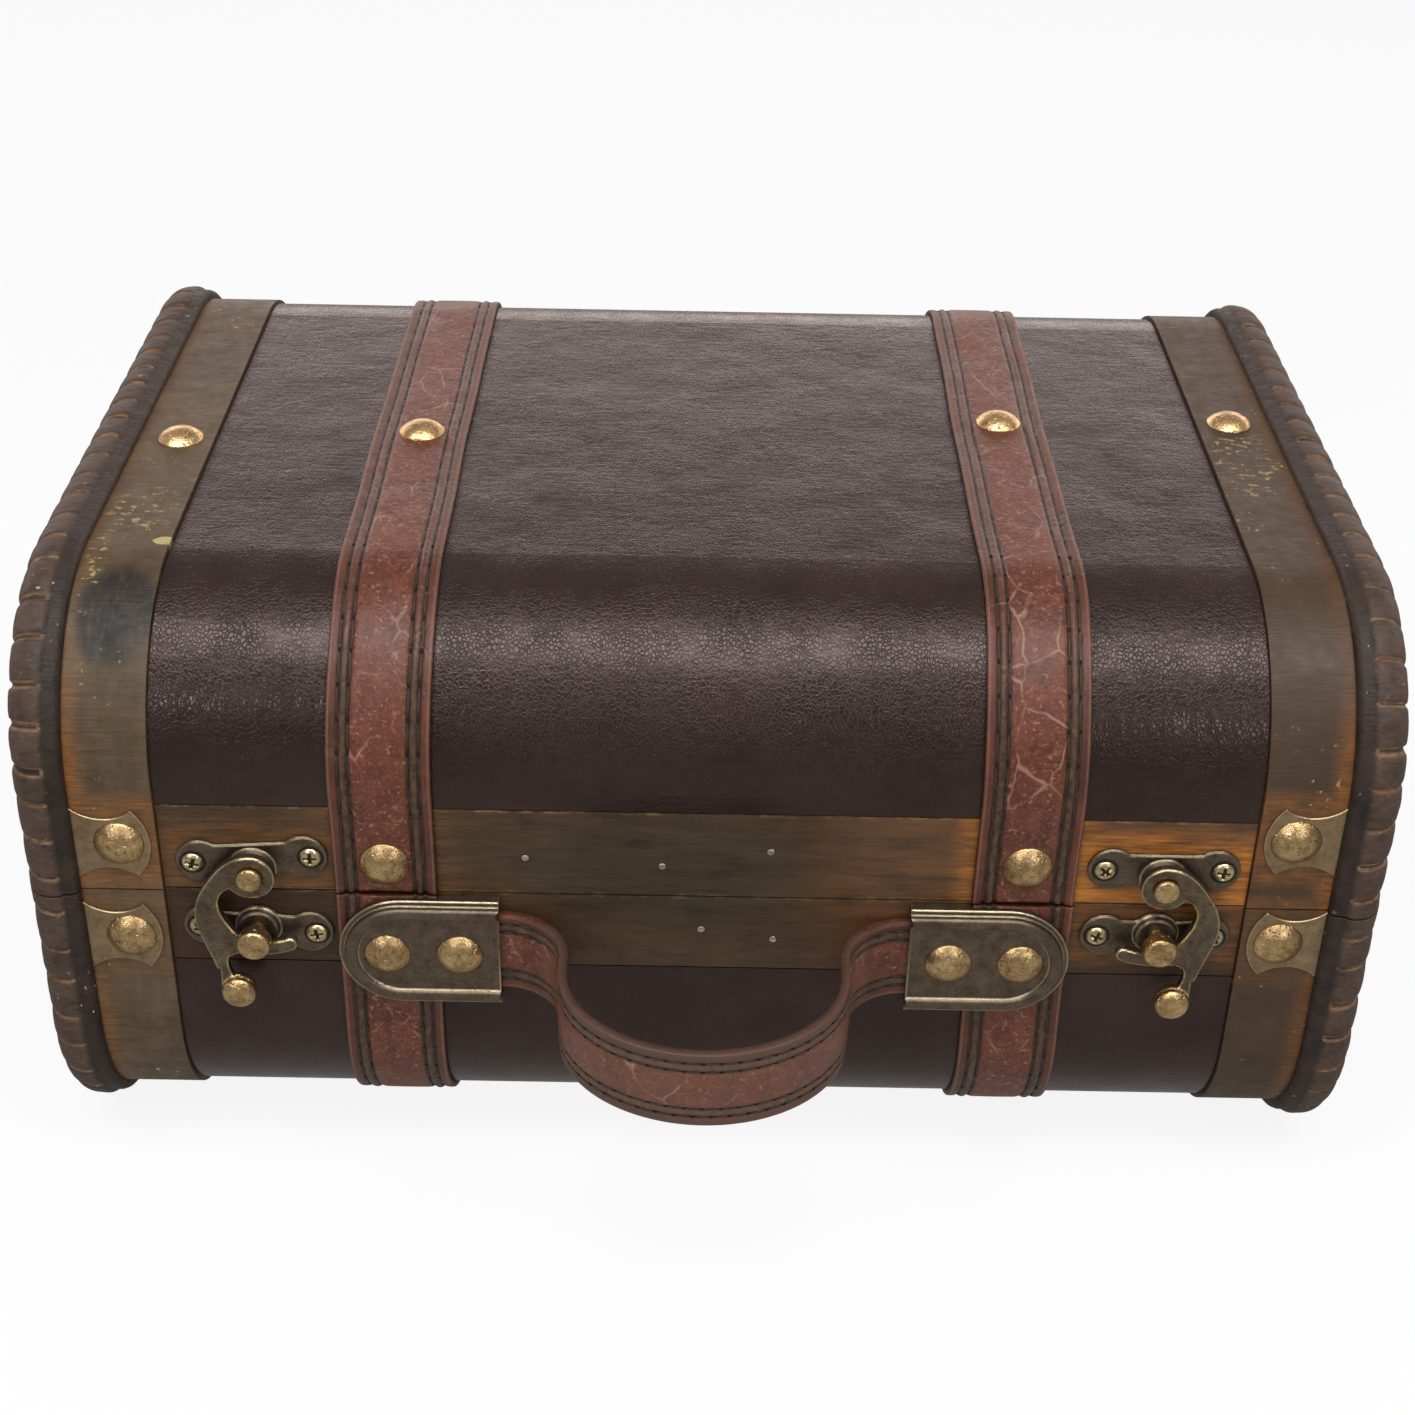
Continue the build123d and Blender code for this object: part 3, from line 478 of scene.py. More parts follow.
# off the top, the sides and underside are painted dark as shade
hide = blend_colour(tree, calc(tree, "MULTIPLY_ADD", raised, -0.85, 0.85), hide, "25150f")
dress(tree, shader, hide, ramp(tree, uneven, 0, 1, 0.37, 0.5))
relief = calc(tree, "MULTIPLY_ADD", fine, 0.1, product(tree, scratches, -0.04))
relief = calc(tree, "MULTIPLY_ADD", flecks, 0.04, calc(tree, "MULTIPLY_ADD", uneven, 0.25, relief))
emboss(tree, relief, 1.0, shader, 0.9)

thread, tree, shader, place = new_finish("waxed_linen_thread_dark_brown", 0.6)
strands = add(tree, "ShaderNodeTexNoise", {"Vector": place, "Scale": 1 / (0.5 * MM)})
dress(tree, shader, blend_colour(tree, strands, "1d140e", "43341f"))
# near black for the needle holes and for the rings round screw and brad heads: painted shade
hole_and_ring_shade, _, hole_shader, _ = new_finish("painted_shade_for_holes_and_rings", 0.9)
hole_shader.inputs["Base Color"].default_value = paint("0e0806")

# %% [markdown]
# ### Stained wood
# The bands are thin wood bent round the case, and the rails are strips with the grain along X. A dark brown stain
# was rubbed on by hand and wiped off again beside the rims, next to the straps and round the latch plates, where
# the wood below glows orange. Bands and rails share one recipe with different tones. What lies near the metal is
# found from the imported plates' own boxes, so the glow follows the plates.


# %% Stained wood
def close_to(tree, spot, box, fade_mm):
    """1 beside a box seen from the front, 0 further off than fade_mm."""
    low, high = box
    ways = []
    for axis, name in ((0, "X"), (2, "Z")):
        off = calc(tree, "ABSOLUTE", calc(tree, "SUBTRACT", spot.outputs[name], (low[axis] + high[axis]) / 2))
        ways.append(calc(tree, "SUBTRACT", off, (high[axis] - low[axis]) / 2))
    return ramp(tree, calc(tree, "MAXIMUM", *ways), fade_mm * MM, 0.4 * MM)


def round_spot(tree, place, centre, radius):
    """1 in the middle of a blot, 0 outside it: centre and radius in millimetres, stretched over each axis."""
    shift = [-c / r for c, r in zip(centre, radius)]
    mapping = add(tree, "ShaderNodeMapping", {"Vector": place, "Location": shift,
                                              "Scale": [1000 / r for r in radius]})
    return ramp(tree, add(tree, "ShaderNodeVectorMath", {0: mapping}, operation="LENGTH").outputs["Value"], 1.15, 0.7)


def stain(name, dark, pale, fibre_tone, fibre_share):
    """The shared stain: its tree, shader, place, noise patterns and colour so far."""
    material, tree, shader, place = new_finish(name, 0.42, ior=1.42)
    fibre = clouds(tree, stretched(tree, place, (0.08, 1, 1)), 0.6, 3.0, 0.6, 0.3, 0.7)
    streak = clouds(tree, stretched(tree, place, (0.16, 1, 1)), 3.0, 4.0, 0.65, 0.3, 0.7)
    blotch = clouds(tree, place, 19, 4.0, 0.66, 0.36, 0.64)
    rag = clouds(tree, place, 4, 4.0, 0.7, 0.25, 0.75)
    wood = blend_colour(tree, calc(tree, "MULTIPLY_ADD", blotch, 0.6, product(tree, streak, 0.4)), dark, pale)
    stain_left = clouds(tree, place, 6, 3.0, 0.7, 0.5, 0.8)
    wood = coats(tree, wood, (fibre, fibre_share, fibre_tone), (stain_left, 0.5, dark))
    return material, tree, shader, place, {"fibre": fibre, "streak": streak, "blotch": blotch, "rag": rag}, wood


def stain_surface(tree, shader, noise, wood):
    """Ends the recipe: colour, open grain as bump, and a lacquer that is uneven."""
    relief = calc(tree, "MULTIPLY_ADD", noise["rag"], 0.05, product(tree, noise["fibre"], 0.05))
    emboss(tree, calc(tree, "MULTIPLY_ADD", noise["blotch"], 0.15, relief), 1.0, shader, 0.8)
    dress(tree, shader, wood, ramp(tree, noise["rag"], 0, 1, 0.42, 0.6))


def near_boxes(tree, spot, names, fade_mm):
    """1 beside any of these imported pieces, left and right, seen from the front."""
    return most(tree, *[close_to(tree, spot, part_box(f"{name}_{side}"), fade_mm)
                        for name in names for side in ("left", "right")])


# %% Stained bands
SEAM_BLUR = 0.2 * MM
SLATE_BLOT = ((-128, -64, 141), (9.5, 13, 13))
PALE_CHIP = ((-120.9, -43.2, 148), (3.4, 2.1, 5))
SCUFFS = (((-129, -30, 148), (8, 13, 6)), ((-135, -52, 142), (2.4, 14, 16)), ((128, 5, 148), (8, 20, 6)))
band_wood, tree, shader, place, noise, wood = stain("stained_poplar_bent_band", "3a2a19", "5d4b35", "716043", 0.3)
spot = add(tree, "ShaderNodeSeparateXYZ", {0: place})
height = spot.outputs["Z"]
bare = blend_colour(tree, noise["fibre"], "7a4110", "a8691f")
smears = clouds(tree, stretched(tree, place, (1, 0.3, 0.3)), 3.4, 4.0, 0.66, 0.35, 0.65)
right_side = ramp(tree, spot.outputs["X"], 0, 100 * MM)
front = ramp(tree, spot.outputs["Y"], MIDDLE_Y, MIDDLE_Y - 5 * MM)
down_wall = ramp(tree, height, 140 * MM, 105 * MM)
by_rim = product(tree, ramp(tree, calc(tree, "ABSOLUTE", spot.outputs["X"]), 132.5 * MM, 137.6 * MM),
                 calc(tree, "MULTIPLY_ADD", down_wall, 0.8, 0.2))
by_plates = near_boxes(tree, spot, ("lid_corner_plate", "base_corner_plate"), 5.5)
rubbed = product(tree, most(tree, by_rim, product(tree, by_plates, front, 0.55)),
                 ramp(tree, height, SEAM - SEAM_BLUR, SEAM + SEAM_BLUR, 0.45, 1.0))
rubbed = calc(tree, "MULTIPLY", rubbed, calc(tree, "MULTIPLY_ADD", noise["rag"], 0.95, 0.2), clamp=True)
scored = clouds(tree, stretched(tree, place, (1, 0.2, 0.2)), 1.1, 3.0, 0.7, 0.5, 0.62)
chip = product(tree, round_spot(tree, place, *PALE_CHIP), 0.6)
chip = ramp(tree, calc(tree, "MULTIPLY_ADD", noise["rag"], 0.9, chip), 0.92, 1.02)
scuffed = most(tree, *[round_spot(tree, place, *blot) for blot in SCUFFS])
scuffs = ramp(tree, clouds(tree, stretched(tree, place, (0.6, 1, 1)), 1.6, 3.0, 0.65, 0.3, 0.7), 0.68, 0.82)
nicks = clouds(tree, place, 1.9, 2.0, 0.6, 0.66, 0.72)
nicks_there = clouds(tree, place, 15, 2.0, 0.5, 0.52, 0.66)
wood = coats(tree, wood, (smears, 0.45, "39291a"), (right_side, 0.65, "362416"), (rubbed, 0.8, bare),
             (round_spot(tree, place, *SLATE_BLOT), calc(tree, "MULTIPLY_ADD", noise["rag"], 0.3, 0.68),
              blend_colour(tree, scored, "0d0b0a", "272320")), (chip, 0.85, "b3a268"),
             (product(tree, scuffed, scuffs), 0.7, "a58f63"), (nicks, nicks_there, "b08d4f"))
stain_surface(tree, shader, noise, wood)

# %% Stained rails
OLIVE_MIDDLE = ((-8, -85, 88), (34, 60, 16))
rail_wood, tree, shader, place, noise, wood = stain("stained_poplar_rail", "261a10", "49321b", "5a4327", 0.4)
spot = add(tree, "ShaderNodeSeparateXYZ", {0: place})
bare = blend_colour(tree, noise["fibre"], "74400f", "b4701d")
front = ramp(tree, spot.outputs["Y"], MIDDLE_Y, MIDDLE_Y - 5 * MM)
middle = round_spot(tree, place, *OLIVE_MIDDLE)
right_part = product(tree, ramp(tree, spot.outputs["X"], 12 * MM, 40 * MM), noise["streak"])
below_seam = ramp(tree, spot.outputs["Z"], SEAM + SEAM_BLUR, SEAM - SEAM_BLUR)
outer_part = product(tree, below_seam, ramp(tree, calc(tree, "ABSOLUTE", spot.outputs["X"]), 72 * MM, 86 * MM))
near_metal = near_boxes(tree, spot, ("latch_plate", "catch_plate"), 6.5)
near_straps = near_boxes(tree, spot, ("lid_strap",), 7)
rightward = ramp(tree, spot.outputs["X"], -60 * MM, 90 * MM, 0.24, 1.2)
rubbed = product(tree, most(tree, near_metal, product(tree, near_straps, 0.8)), front, rightward,
                 calc(tree, "MULTIPLY_ADD", below_seam, -0.7, 1.0))
rubbed = calc(tree, "MULTIPLY", rubbed, calc(tree, "MULTIPLY_ADD", noise["streak"], 1.0, 0.2), clamp=True)
chipped = clouds(tree, stretched(tree, place, (0.35, 1, 1)), 1.2, 3.0, 0.65, 0.5, 0.6)
top_way = calc(tree, "SUBTRACT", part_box("lid_front_rail")[1].z, spot.outputs["Z"])
seam_way = calc(tree, "ABSOLUTE", calc(tree, "SUBTRACT", spot.outputs["Z"], SEAM))
edges = most(tree, ramp(tree, top_way, 0.8 * MM, 0.3 * MM),
             product(tree, ramp(tree, seam_way, 1.1 * MM, 0.5 * MM), 0.5))
wood = coats(tree, wood, (middle, 0.5, blend_colour(tree, noise["streak"], "262319", "433d2e")),
             (right_part, 0.6, "71492a"), (outer_part, 0.75, "24160e"), (rubbed, 0.95, bare),
             (product(tree, edges, chipped), 0.3, "9a7d52"))
stain_surface(tree, shader, noise, wood)

# %% [markdown]
# ### Carved rims
# The end boards were gouged by hand across their rounded edge and stained nearly black brown. The stain was
# sanded off the notch lips, which shows as thin tan and orange lines. The uncarved flanks are painted darker than
# the lobes, which in the cove beside the band is painted shade, and the notch bottoms are painted near black as
# shade. The carving tree below leaves an attribute on the mesh, how deep in a notch a point is, and the finish
# reads it.

# %% Carved wood
carved_wood, tree, shader, place = new_finish("carved_poplar_black_brown", 0.4, ior=1.42)
in_notch, carved = [add(tree, "ShaderNodeAttribute", attribute_name=name, attribute_type="GEOMETRY").outputs["Fac"]
                    for name in ("notch", "carve")]
smears = clouds(tree, place, 5, 4.0, 0.65, 0.3, 0.7)
scratches = clouds(tree, stretched(tree, place, (0.3, 1, 1)), 0.9, 3.0, 0.7, 0.35, 0.65)
lobes = coats(tree, blend_colour(tree, smears, "281d19", "4a3930"), (scratches, 0.25, "6a5138"))
# the uncarved flanks take a darker tone than the lobes, which in the cove beside the band is painted shade
dark = blend_colour(tree, carved, blend_colour(tree, smears, "1d1410", "35271d"), lobes)
lip = product(tree, ramp(tree, in_notch, 0.08, 0.4), ramp(tree, in_notch, 0.98, 0.6),
              calc(tree, "MULTIPLY_ADD", scratches, 0.7, 0.3), clouds(tree, place, 3.4, 3.0, 0.65, 0.3, 0.52))
sanded = blend_colour(tree, clouds(tree, place, 17, 3.0, 0.6, 0.35, 0.65), "7d4f2a", "917651")
nicks = clouds(tree, place, 1.6, 2.0, 0.6, 0.7, 0.75)
nicks_there = clouds(tree, place, 13, 2.0, 0.5, 0.48, 0.6)
# the bottoms of the notches are painted near black as shade
dark = coats(tree, dark, (lip, 0.9, sanded), (ramp(tree, in_notch, 0.8, 1.0), 0.7, "150e0a"),
             (nicks, nicks_there, "b59c7a"))
dress(tree, shader, dark, ramp(tree, smears, 0, 1, 0.48, 0.66))
emboss(tree, calc(tree, "MULTIPLY_ADD", scratches, 0.08, product(tree, smears, 0.25)), 1.0, shader, 0.8)

# %% [markdown]
# ### Brass
# The metalwork is brass, darkened in a bath to an antique bronze and then rubbed: edges and domes are bright,
# hollows stay dark. A bevel node compares each point's rounded normal with the flat one, which finds the edges
# that a hand would rub, and ambient occlusion finds the hollows.


# %% Brass finishes
def brass(name, tarnish, metal, roughness, rub, pits_mm, pit_depth, edge_mm=0.45, foot_mm=1.2):
    """Antique brass: tarnish in the flats and hollows, bare metal on the edges and where it was rubbed."""
    material, tree, shader, place = new_finish(name, roughness, metallic=1.0)
    rounded = add(tree, "ShaderNodeBevel", {"Radius": edge_mm * MM}, samples=6)
    true = add(tree, "ShaderNodeNewGeometry").outputs["Normal"]
    facing = add(tree, "ShaderNodeVectorMath", {0: rounded, 1: true}, operation="DOT_PRODUCT").outputs["Value"]
    edge = ramp(tree, facing, 0.992, 0.88)
    hollow = add(tree, "ShaderNodeAmbientOcclusion", {"Distance": foot_mm * MM}, samples=6).outputs["AO"]
    edge = product(tree, edge, ramp(tree, hollow, 0.35, 0.75))
    smudge = clouds(tree, place, 3.2, 4.0, 0.65, 0.3, 0.7)
    brushed = clouds(tree, place, 0.7, 3.0, 0.6, 0.3, 0.7)
    rubbed = calc(tree, "MULTIPLY_ADD", smudge, rub, product(tree, brushed, rub * 0.5))
    bright = most(tree, rubbed, product(tree, edge, calc(tree, "MULTIPLY_ADD", smudge, 0.35, 0.65)))
    tone = blend_colour(tree, bright, tarnish, metal)
    tone = blend_colour(tree, ramp(tree, hollow, 0.6, 0.1), tone, "17110c")
    pits = clouds(tree, place, pits_mm, 2.0, 0.5, 0.6, 0.72)
    tone = coats(tree, tone, (pits, 0.55, tarnish))
    dress(tree, shader, tone, ramp(tree, bright, 0, 1, roughness + 0.08, roughness - 0.08))
    height = calc(tree, "SUBTRACT", product(tree, brushed, 0.3), pits)
    emboss(tree, height, pit_depth, shader, 0.8, rounded)
    return material


plate_brass = brass("antique_brass_dark", "56473f", "fdeec6", 0.36, 0.12, 1.6, 0.05, 0.85)
corner_brass = brass("antique_brass_rolled_sheet", "8a7058", "f6dfb2", 0.4, 0.26, 2.2, 0.05, 0.6)
hook_brass = brass("antique_brass_cast", "54463c", "fbe8bc", 0.33, 0.16, 1.2, 0.08, 1.0)
dome_brass = brass("rubbed_brass_domes", "80603e", "f3d29a", 0.33, 0.72, 1.1, 0.2, 0.45, 3.0)
screw_brass = brass("brass_screws", "a8946c", "f6e4b8", 0.32, 0.75, 0.8, 0.03, 0.2)
brad_steel = brass("worn_brad_tops", "b9ab94", "ece2cc", 0.4, 0.8, 0.5, 0.02, 0.2)
tree = screw_brass.node_tree
shader = tree.nodes["Principled BSDF"]
head_tone = shader.inputs["Base Color"].links[0].from_socket
# the cross is painted near black: partly its patina, partly painted shade in the recess
recess = add(tree, "ShaderNodeAttribute", attribute_name="recess", attribute_type="GEOMETRY").outputs["Fac"]
dress(tree, shader, coats(tree, head_tone, (recess, 0.93, "1c140d")))

# %% [markdown]
# ### Inside
# The boards are thin bent plywood, and the case is lined with a thin brown cotton cloth. Its threads are about
# 0.4 mm apart, so two crossing waves of twice that length make the weave, and the wood shows at the seam's edge.

# %% Lining and boards
lining, tree, shader, place = new_finish("brown_cotton_lining", 0.85)
spot = add(tree, "ShaderNodeSeparateXYZ", {0: place})
THREAD = 2 * math.pi / (0.8 * MM)
across, along = spot.outputs["X"], calc(tree, "ADD", spot.outputs["Y"], spot.outputs["Z"])
weave = product(tree, *[calc(tree, "SINE", product(tree, way, THREAD)) for way in (across, along)])
cloth = blend_colour(tree, clouds(tree, place, 9, 4.0, 0.7), "34261f", "453229")
dress(tree, shader, blend_colour(tree, ramp(tree, weave, -1, 1, 0, 0.35), cloth, "5a4436"))
shader.inputs["Sheen Weight"].default_value = 0.25
emboss(tree, weave, 0.1, shader, 0.5)

board_wood, tree, shader, place = new_finish("bent_plywood_brown", 0.6)
layers = clouds(tree, stretched(tree, place, (0.08, 1, 1)), 1.1, 3.0, 0.6, 0.3, 0.7)
dress(tree, shader, blend_colour(tree, layers, "4c3826", "7a5c3c"))
emboss(tree, layers, 0.1, shader, 0.5)

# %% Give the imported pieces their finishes
FINISH_BY_WORD = (
    ("lining", lining), ("leatherette", leatherette), ("strap", strap_leather), ("handle_end", strap_leather),
    ("band", band_wood), ("rail", rail_wood), ("_end_", carved_wood), ("shell", board_wood),
    ("dome_nails", dome_brass), ("rivets", dome_brass), ("screws", screw_brass), ("corner_plate", corner_brass),
    ("hook", hook_brass), ("post", dome_brass), ("pivot", dome_brass), ("plate", plate_brass), ("hinge", plate_brass),
)
for name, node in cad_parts.items():
    finish = next(material for word, material in FINISH_BY_WORD if word in name)
    node.data.materials.clear()
    node.data.materials.append(finish)
print("finishes:", len(FINISH_BY_WORD), "words for", len(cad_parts), "nodes")

# %% [markdown]
# ## Carved end boards
# Each end board half is one mesh: a profile of its edge is carried along the section, and flat faces close it at
# the seam and on both sides. The hand-cut notches follow a rule, about one every 9.7 mm, so a geometry tree cuts
# them: it reads how far along the rim a point is, and presses the surface in where a notch is due, each a little
# different from the last.


# %% The notch-cutting tree
def new_tree(name, sizes):
    """A geometry tree with a mesh in, a mesh out, and named sizes with the values that they start from."""
    tree = bpy.data.node_groups.new(name, "GeometryNodeTree")
    tree.interface.new_socket("Geometry", in_out="INPUT", socket_type="NodeSocketGeometry")
    tree.interface.new_socket("Geometry", in_out="OUTPUT", socket_type="NodeSocketGeometry")
    for label, (kind, value) in sizes.items():
        socket = tree.interface.new_socket(label, in_out="INPUT", socket_type=kind)
        if value is not None:
            socket.default_value = value
    return tree, add(tree, "NodeGroupInput").outputs


def run_tree(piece, tree, **sizes):
    """Puts the tree on a piece with its sizes set by identifier, and turns the result into a plain mesh."""
    modifier = piece.modifiers.new(tree.name, "NODES")
    modifier.node_group = tree
    for item in tree.interface.items_tree:
        if item.in_out == "INPUT" and item.name in sizes:
            modifier[item.identifier] = sizes[item.name]
    return settle(piece)


def finish_tree(tree, geometry, material_socket):
    """Ends a tree in Realize Instances and Set Material."""
    real = add(tree, "GeometryNodeRealizeInstances", {0: geometry})
    painted = add(tree, "GeometryNodeSetMaterial", {"Geometry": real, "Material": material_socket})
    add(tree, "NodeGroupOutput", {0: painted})


def read(tree, name, kind="FLOAT"):
    """A named attribute as a field."""
    return add(tree, "GeometryNodeInputNamedAttribute", {"Name": name}, data_type=kind).outputs["Attribute"]


FLOAT, MATERIAL = "NodeSocketFloat", "NodeSocketMaterial"
carving, sizes = new_tree("carved_notches", {
    "Pitch": (FLOAT, 9.7 * MM), "First Notch": (FLOAT, 4.5 * MM), "Notch Width": (FLOAT, 1.05 * MM),
    "Notch Depth": (FLOAT, 0.6 * MM), "Lobe Depth": (FLOAT, 0.4 * MM), "Seed": (FLOAT, 1.0),
    "Material": (MATERIAL, None),
})
along, carve = read(carving, "along"), read(carving, "carve")
wobble = add(carving, "ShaderNodeTexNoise", {"W": calc(carving, "MULTIPLY_ADD", along, 40, sizes["Seed"])},
             noise_dimensions="1D")
wobble = calc(carving, "MULTIPLY_ADD", wobble, 0.5, -0.25)
steps = calc(carving, "DIVIDE", calc(carving, "SUBTRACT", along, sizes["First Notch"]), sizes["Pitch"])
steps = calc(carving, "ADD", steps, wobble)
notch_number = calc(carving, "ROUND", steps)
off_notch = calc(carving, "ABSOLUTE", calc(carving, "SUBTRACT", steps, notch_number))
reach = calc(carving, "DIVIDE", sizes["Notch Width"], sizes["Pitch"])
groove = add(carving, "ShaderNodeMapRange", {0: off_notch, 1: reach, 2: 0.0, 3: 0.0, 4: 1.0},
             interpolation_type="SMOOTHSTEP")
lobe = calc(carving, "POWER", calc(carving, "MULTIPLY_ADD", off_notch, -2, 1), 2.6)
chance = add(carving, "ShaderNodeTexWhiteNoise", {"W": calc(carving, "ADD", notch_number, sizes["Seed"])},
             noise_dimensions="1D")
own = calc(carving, "MULTIPLY_ADD", chance, 0.7, 0.6)
cut_depth = product(carving, groove, sizes["Notch Depth"], own)
depth = calc(carving, "MULTIPLY_ADD", lobe, sizes["Lobe Depth"], cut_depth)
surface = add(carving, "GeometryNodeInputPosition")
bumps = add(carving, "ShaderNodeTexNoise", {"Vector": surface, "Scale": 160.0, "Detail": 2.0})
depth = product(carving, calc(carving, "ADD", depth, product(carving, bumps, 0.22 * MM)), carve)
push = add(carving, "ShaderNodeVectorMath", {0: read(carving, "outward", "FLOAT_VECTOR"),
           "Scale": product(carving, depth, -1)}, operation="SCALE")
pressed = add(carving, "GeometryNodeSetPosition", {"Geometry": sizes["Geometry"], "Offset": push})
stored = add(carving, "GeometryNodeStoreNamedAttribute", {"Geometry": pressed, "Name": "notch",
             "Value": product(carving, groove, carve)}, data_type="FLOAT", domain="POINT")
finish_tree(carving, stored, sizes["Material"])
print("tree:", carving.name, [i.name for i in carving.interface.items_tree])

# %% The end boards
# how far out across the board, how deep below the rim's crown, and how much of the carving a point takes
RIM_PROFILE = (
    (0.0, 12.0, 0.0), (0.0, 7.0, 0.0), (0.0, 3.6, 0.0), (0.05, 2.6, 0.0), (0.3, 1.9, 0.0), (0.8, 1.35, 0.0),
    (1.5, 1.1, 0.0),
    (2.3, 1.1, 0.0), (3.0, 1.0, 0.0), (3.4, 0.75, 0.15), (3.8, 0.38, 0.6), (4.3, 0.12, 1.0), (4.9, 0.02, 1.0),
    (5.5, 0.0, 1.0),
)
ROUND = 6.5
CROWN = 5.5
ARC_STEPS = 12
profile = list(RIM_PROFILE)
for step in range(1, ARC_STEPS + 1):
    angle = math.pi / 2 * step / ARC_STEPS
    share = 1.0 if step < ARC_STEPS else 0.85
    profile.append((CROWN + ROUND * math.sin(angle), ROUND - ROUND * math.cos(angle), share))
profile += [(12.0, 7.4, 0.5), (12.0, 8.6, 0.12), (12.0, 10.0, 0.0), (12.0, 12.0, 0.0)]


def end_board(name, side, lid):
    """Half of an end board as a plain mesh with the attributes that the carving tree reads."""
    stations, _ = section_path(0, lid, 0.55 * MM)
    points, along_rim, weight, outward = [], [], [], []
    for place, normal, run in stations:
        for index, (across, inset, carve_share) in enumerate(profile):
            before, after = profile[max(index - 1, 0)], profile[min(index + 1, len(profile) - 1)]
            slope = Vector((after[0] - before[0], before[1] - after[1]))
            facing = Vector((-slope.y, slope.x)).normalized()
            points.append(Vector((side * (HALF_LENGTH - BOARD + across * MM), 0, 0)) + place - normal * inset * MM)
            along_rim.append(run)
            weight.append(carve_share)
            outward += list(Vector((side * facing.x, 0, 0)) + normal * facing.y)
    width, count = len(profile), len(stations)
    faces = [(i * width + j, i * width + j + 1, (i + 1) * width + j + 1, (i + 1) * width + j)
             for i in range(count - 1) for j in range(width - 1)]
    last = (count - 1) * width
    faces.append([i * width for i in range(count)])
    faces.append([i * width + width - 1 for i in reversed(range(count))])
    faces.append([j for j in reversed(range(width))] + [last + j for j in range(width)])
    piece = mesh_piece(name, points, faces, [carved_wood])
    set_attribute(piece, "along", along_rim)
    set_attribute(piece, "carve", weight)
    set_attribute(piece, "outward", outward, "FLOAT_VECTOR")
    return close_up(piece)


for side, side_name in ((-1, "left"), (1, "right")):
    for lid, part in ((True, "lid"), (False, "base")):
        node = f"{part}_end_{side_name}"
        board = end_board(f"{part}_carved_end_{side_name}", side, lid)
        run_tree(board, carving, **{"Seed": 7.3 * side + 2.1 * lid + 20, "Material": carved_wood,
                                    "First Notch": (4.5 if lid else 5.2) * MM})
        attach(board, part)
        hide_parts(node)
        print(board.name, len(board.data.polygons), "faces")

# %% [markdown]
# ## Screws, brads and hooks
# The latch plates are held by small brass screws with a cross in the head, and the rails by headless brads whose
# worn tops show pale in a dark dent. Both are the same thing at two sizes, a low dome in a flat dark ring, so one
# tree makes them: it sinks a cross into a fine sphere by a rule, and puts one on each point, spun by chance as a
# screwdriver leaves them. The ring is a painted shadow round the head, and the near black in the cross is partly
# patina and partly painted shade. The points of the screws come from the imported screws' own middles.


# %% The fastener tree
def islands(node):
    """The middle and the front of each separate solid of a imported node, always in the same order."""
    shape = bmesh.new()
    shape.from_mesh(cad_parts[node].data)
    bmesh.ops.remove_doubles(shape, verts=shape.verts, dist=0.01 * MM)
    left, middles = set(shape.verts), []
    while left:
        group, queue = set(), [left.pop()]
        while queue:
            vert = queue.pop()
            group.add(vert)
            for link in vert.link_edges:
                other = link.other_vert(vert)
                if other in left:
                    left.remove(other)
                    queue.append(other)
        low = Vector([min(v.co[axis] for v in group) for axis in range(3)])
        high = Vector([max(v.co[axis] for v in group) for axis in range(3)])
        middles.append(((low + high) / 2, low.y))
    shape.free()
    return sorted(middles, key=lambda found: (round(found[0].x / MM), round(found[0].z / MM)))


heads, sizes = new_tree("fastener_heads", {
    "Head Radius": (FLOAT, 2.4 * MM), "Head Rise": (FLOAT, 1.0 * MM), "Cross Width": (FLOAT, 0.8 * MM),
    "Cross Length": (FLOAT, 3.0 * MM), "Cross Depth": (FLOAT, 0.6 * MM), "Ring Radius": (FLOAT, 2.9 * MM),
    "Seed": (FLOAT, 1.0), "Head Material": (MATERIAL, None), "Ring Shade Material": (MATERIAL, None),
})
ball = add(heads, "GeometryNodeMeshIcoSphere", {"Radius": 1.0, "Subdivisions": 5})
flat = add(heads, "ShaderNodeCombineXYZ", {"X": sizes["Head Radius"], "Y": sizes["Head Radius"],
                                           "Z": sizes["Head Rise"]})
ball = add(heads, "GeometryNodeTransform", {"Geometry": ball, "Scale": flat})
spot = add(heads, "ShaderNodeSeparateXYZ", {0: add(heads, "GeometryNodeInputPosition")})
off_x = calc(heads, "ABSOLUTE", spot.outputs["X"])
off_y = calc(heads, "ABSOLUTE", spot.outputs["Y"])
half_width = product(heads, sizes["Cross Width"], 0.5)
half_length = product(heads, sizes["Cross Length"], 0.5)
arms = []
for narrow, wide in ((off_x, off_y), (off_y, off_x)):
    over = calc(heads, "MAXIMUM", calc(heads, "SUBTRACT", narrow, half_width),
                calc(heads, "SUBTRACT", wide, half_length))
    arms.append(add(heads, "ShaderNodeMapRange", {0: over, 1: 0.06 * MM, 2: -0.12 * MM},
                    interpolation_type="SMOOTHSTEP"))
cross = product(heads, most(heads, *arms), calc(heads, "GREATER_THAN", spot.outputs["Z"], 0.0))
sink = product(heads, cross, product(heads, sizes["Cross Depth"], -1))
cut_head = add(heads, "GeometryNodeSetPosition", {"Geometry": ball,
                                                  "Offset": add(heads, "ShaderNodeCombineXYZ", {"Z": sink})})
cut_head = add(heads, "GeometryNodeStoreNamedAttribute", {"Geometry": cut_head, "Name": "recess", "Value": cross},
               data_type="FLOAT", domain="POINT")
cut_head = add(heads, "GeometryNodeSetMaterial", {"Geometry": cut_head, "Material": sizes["Head Material"]})
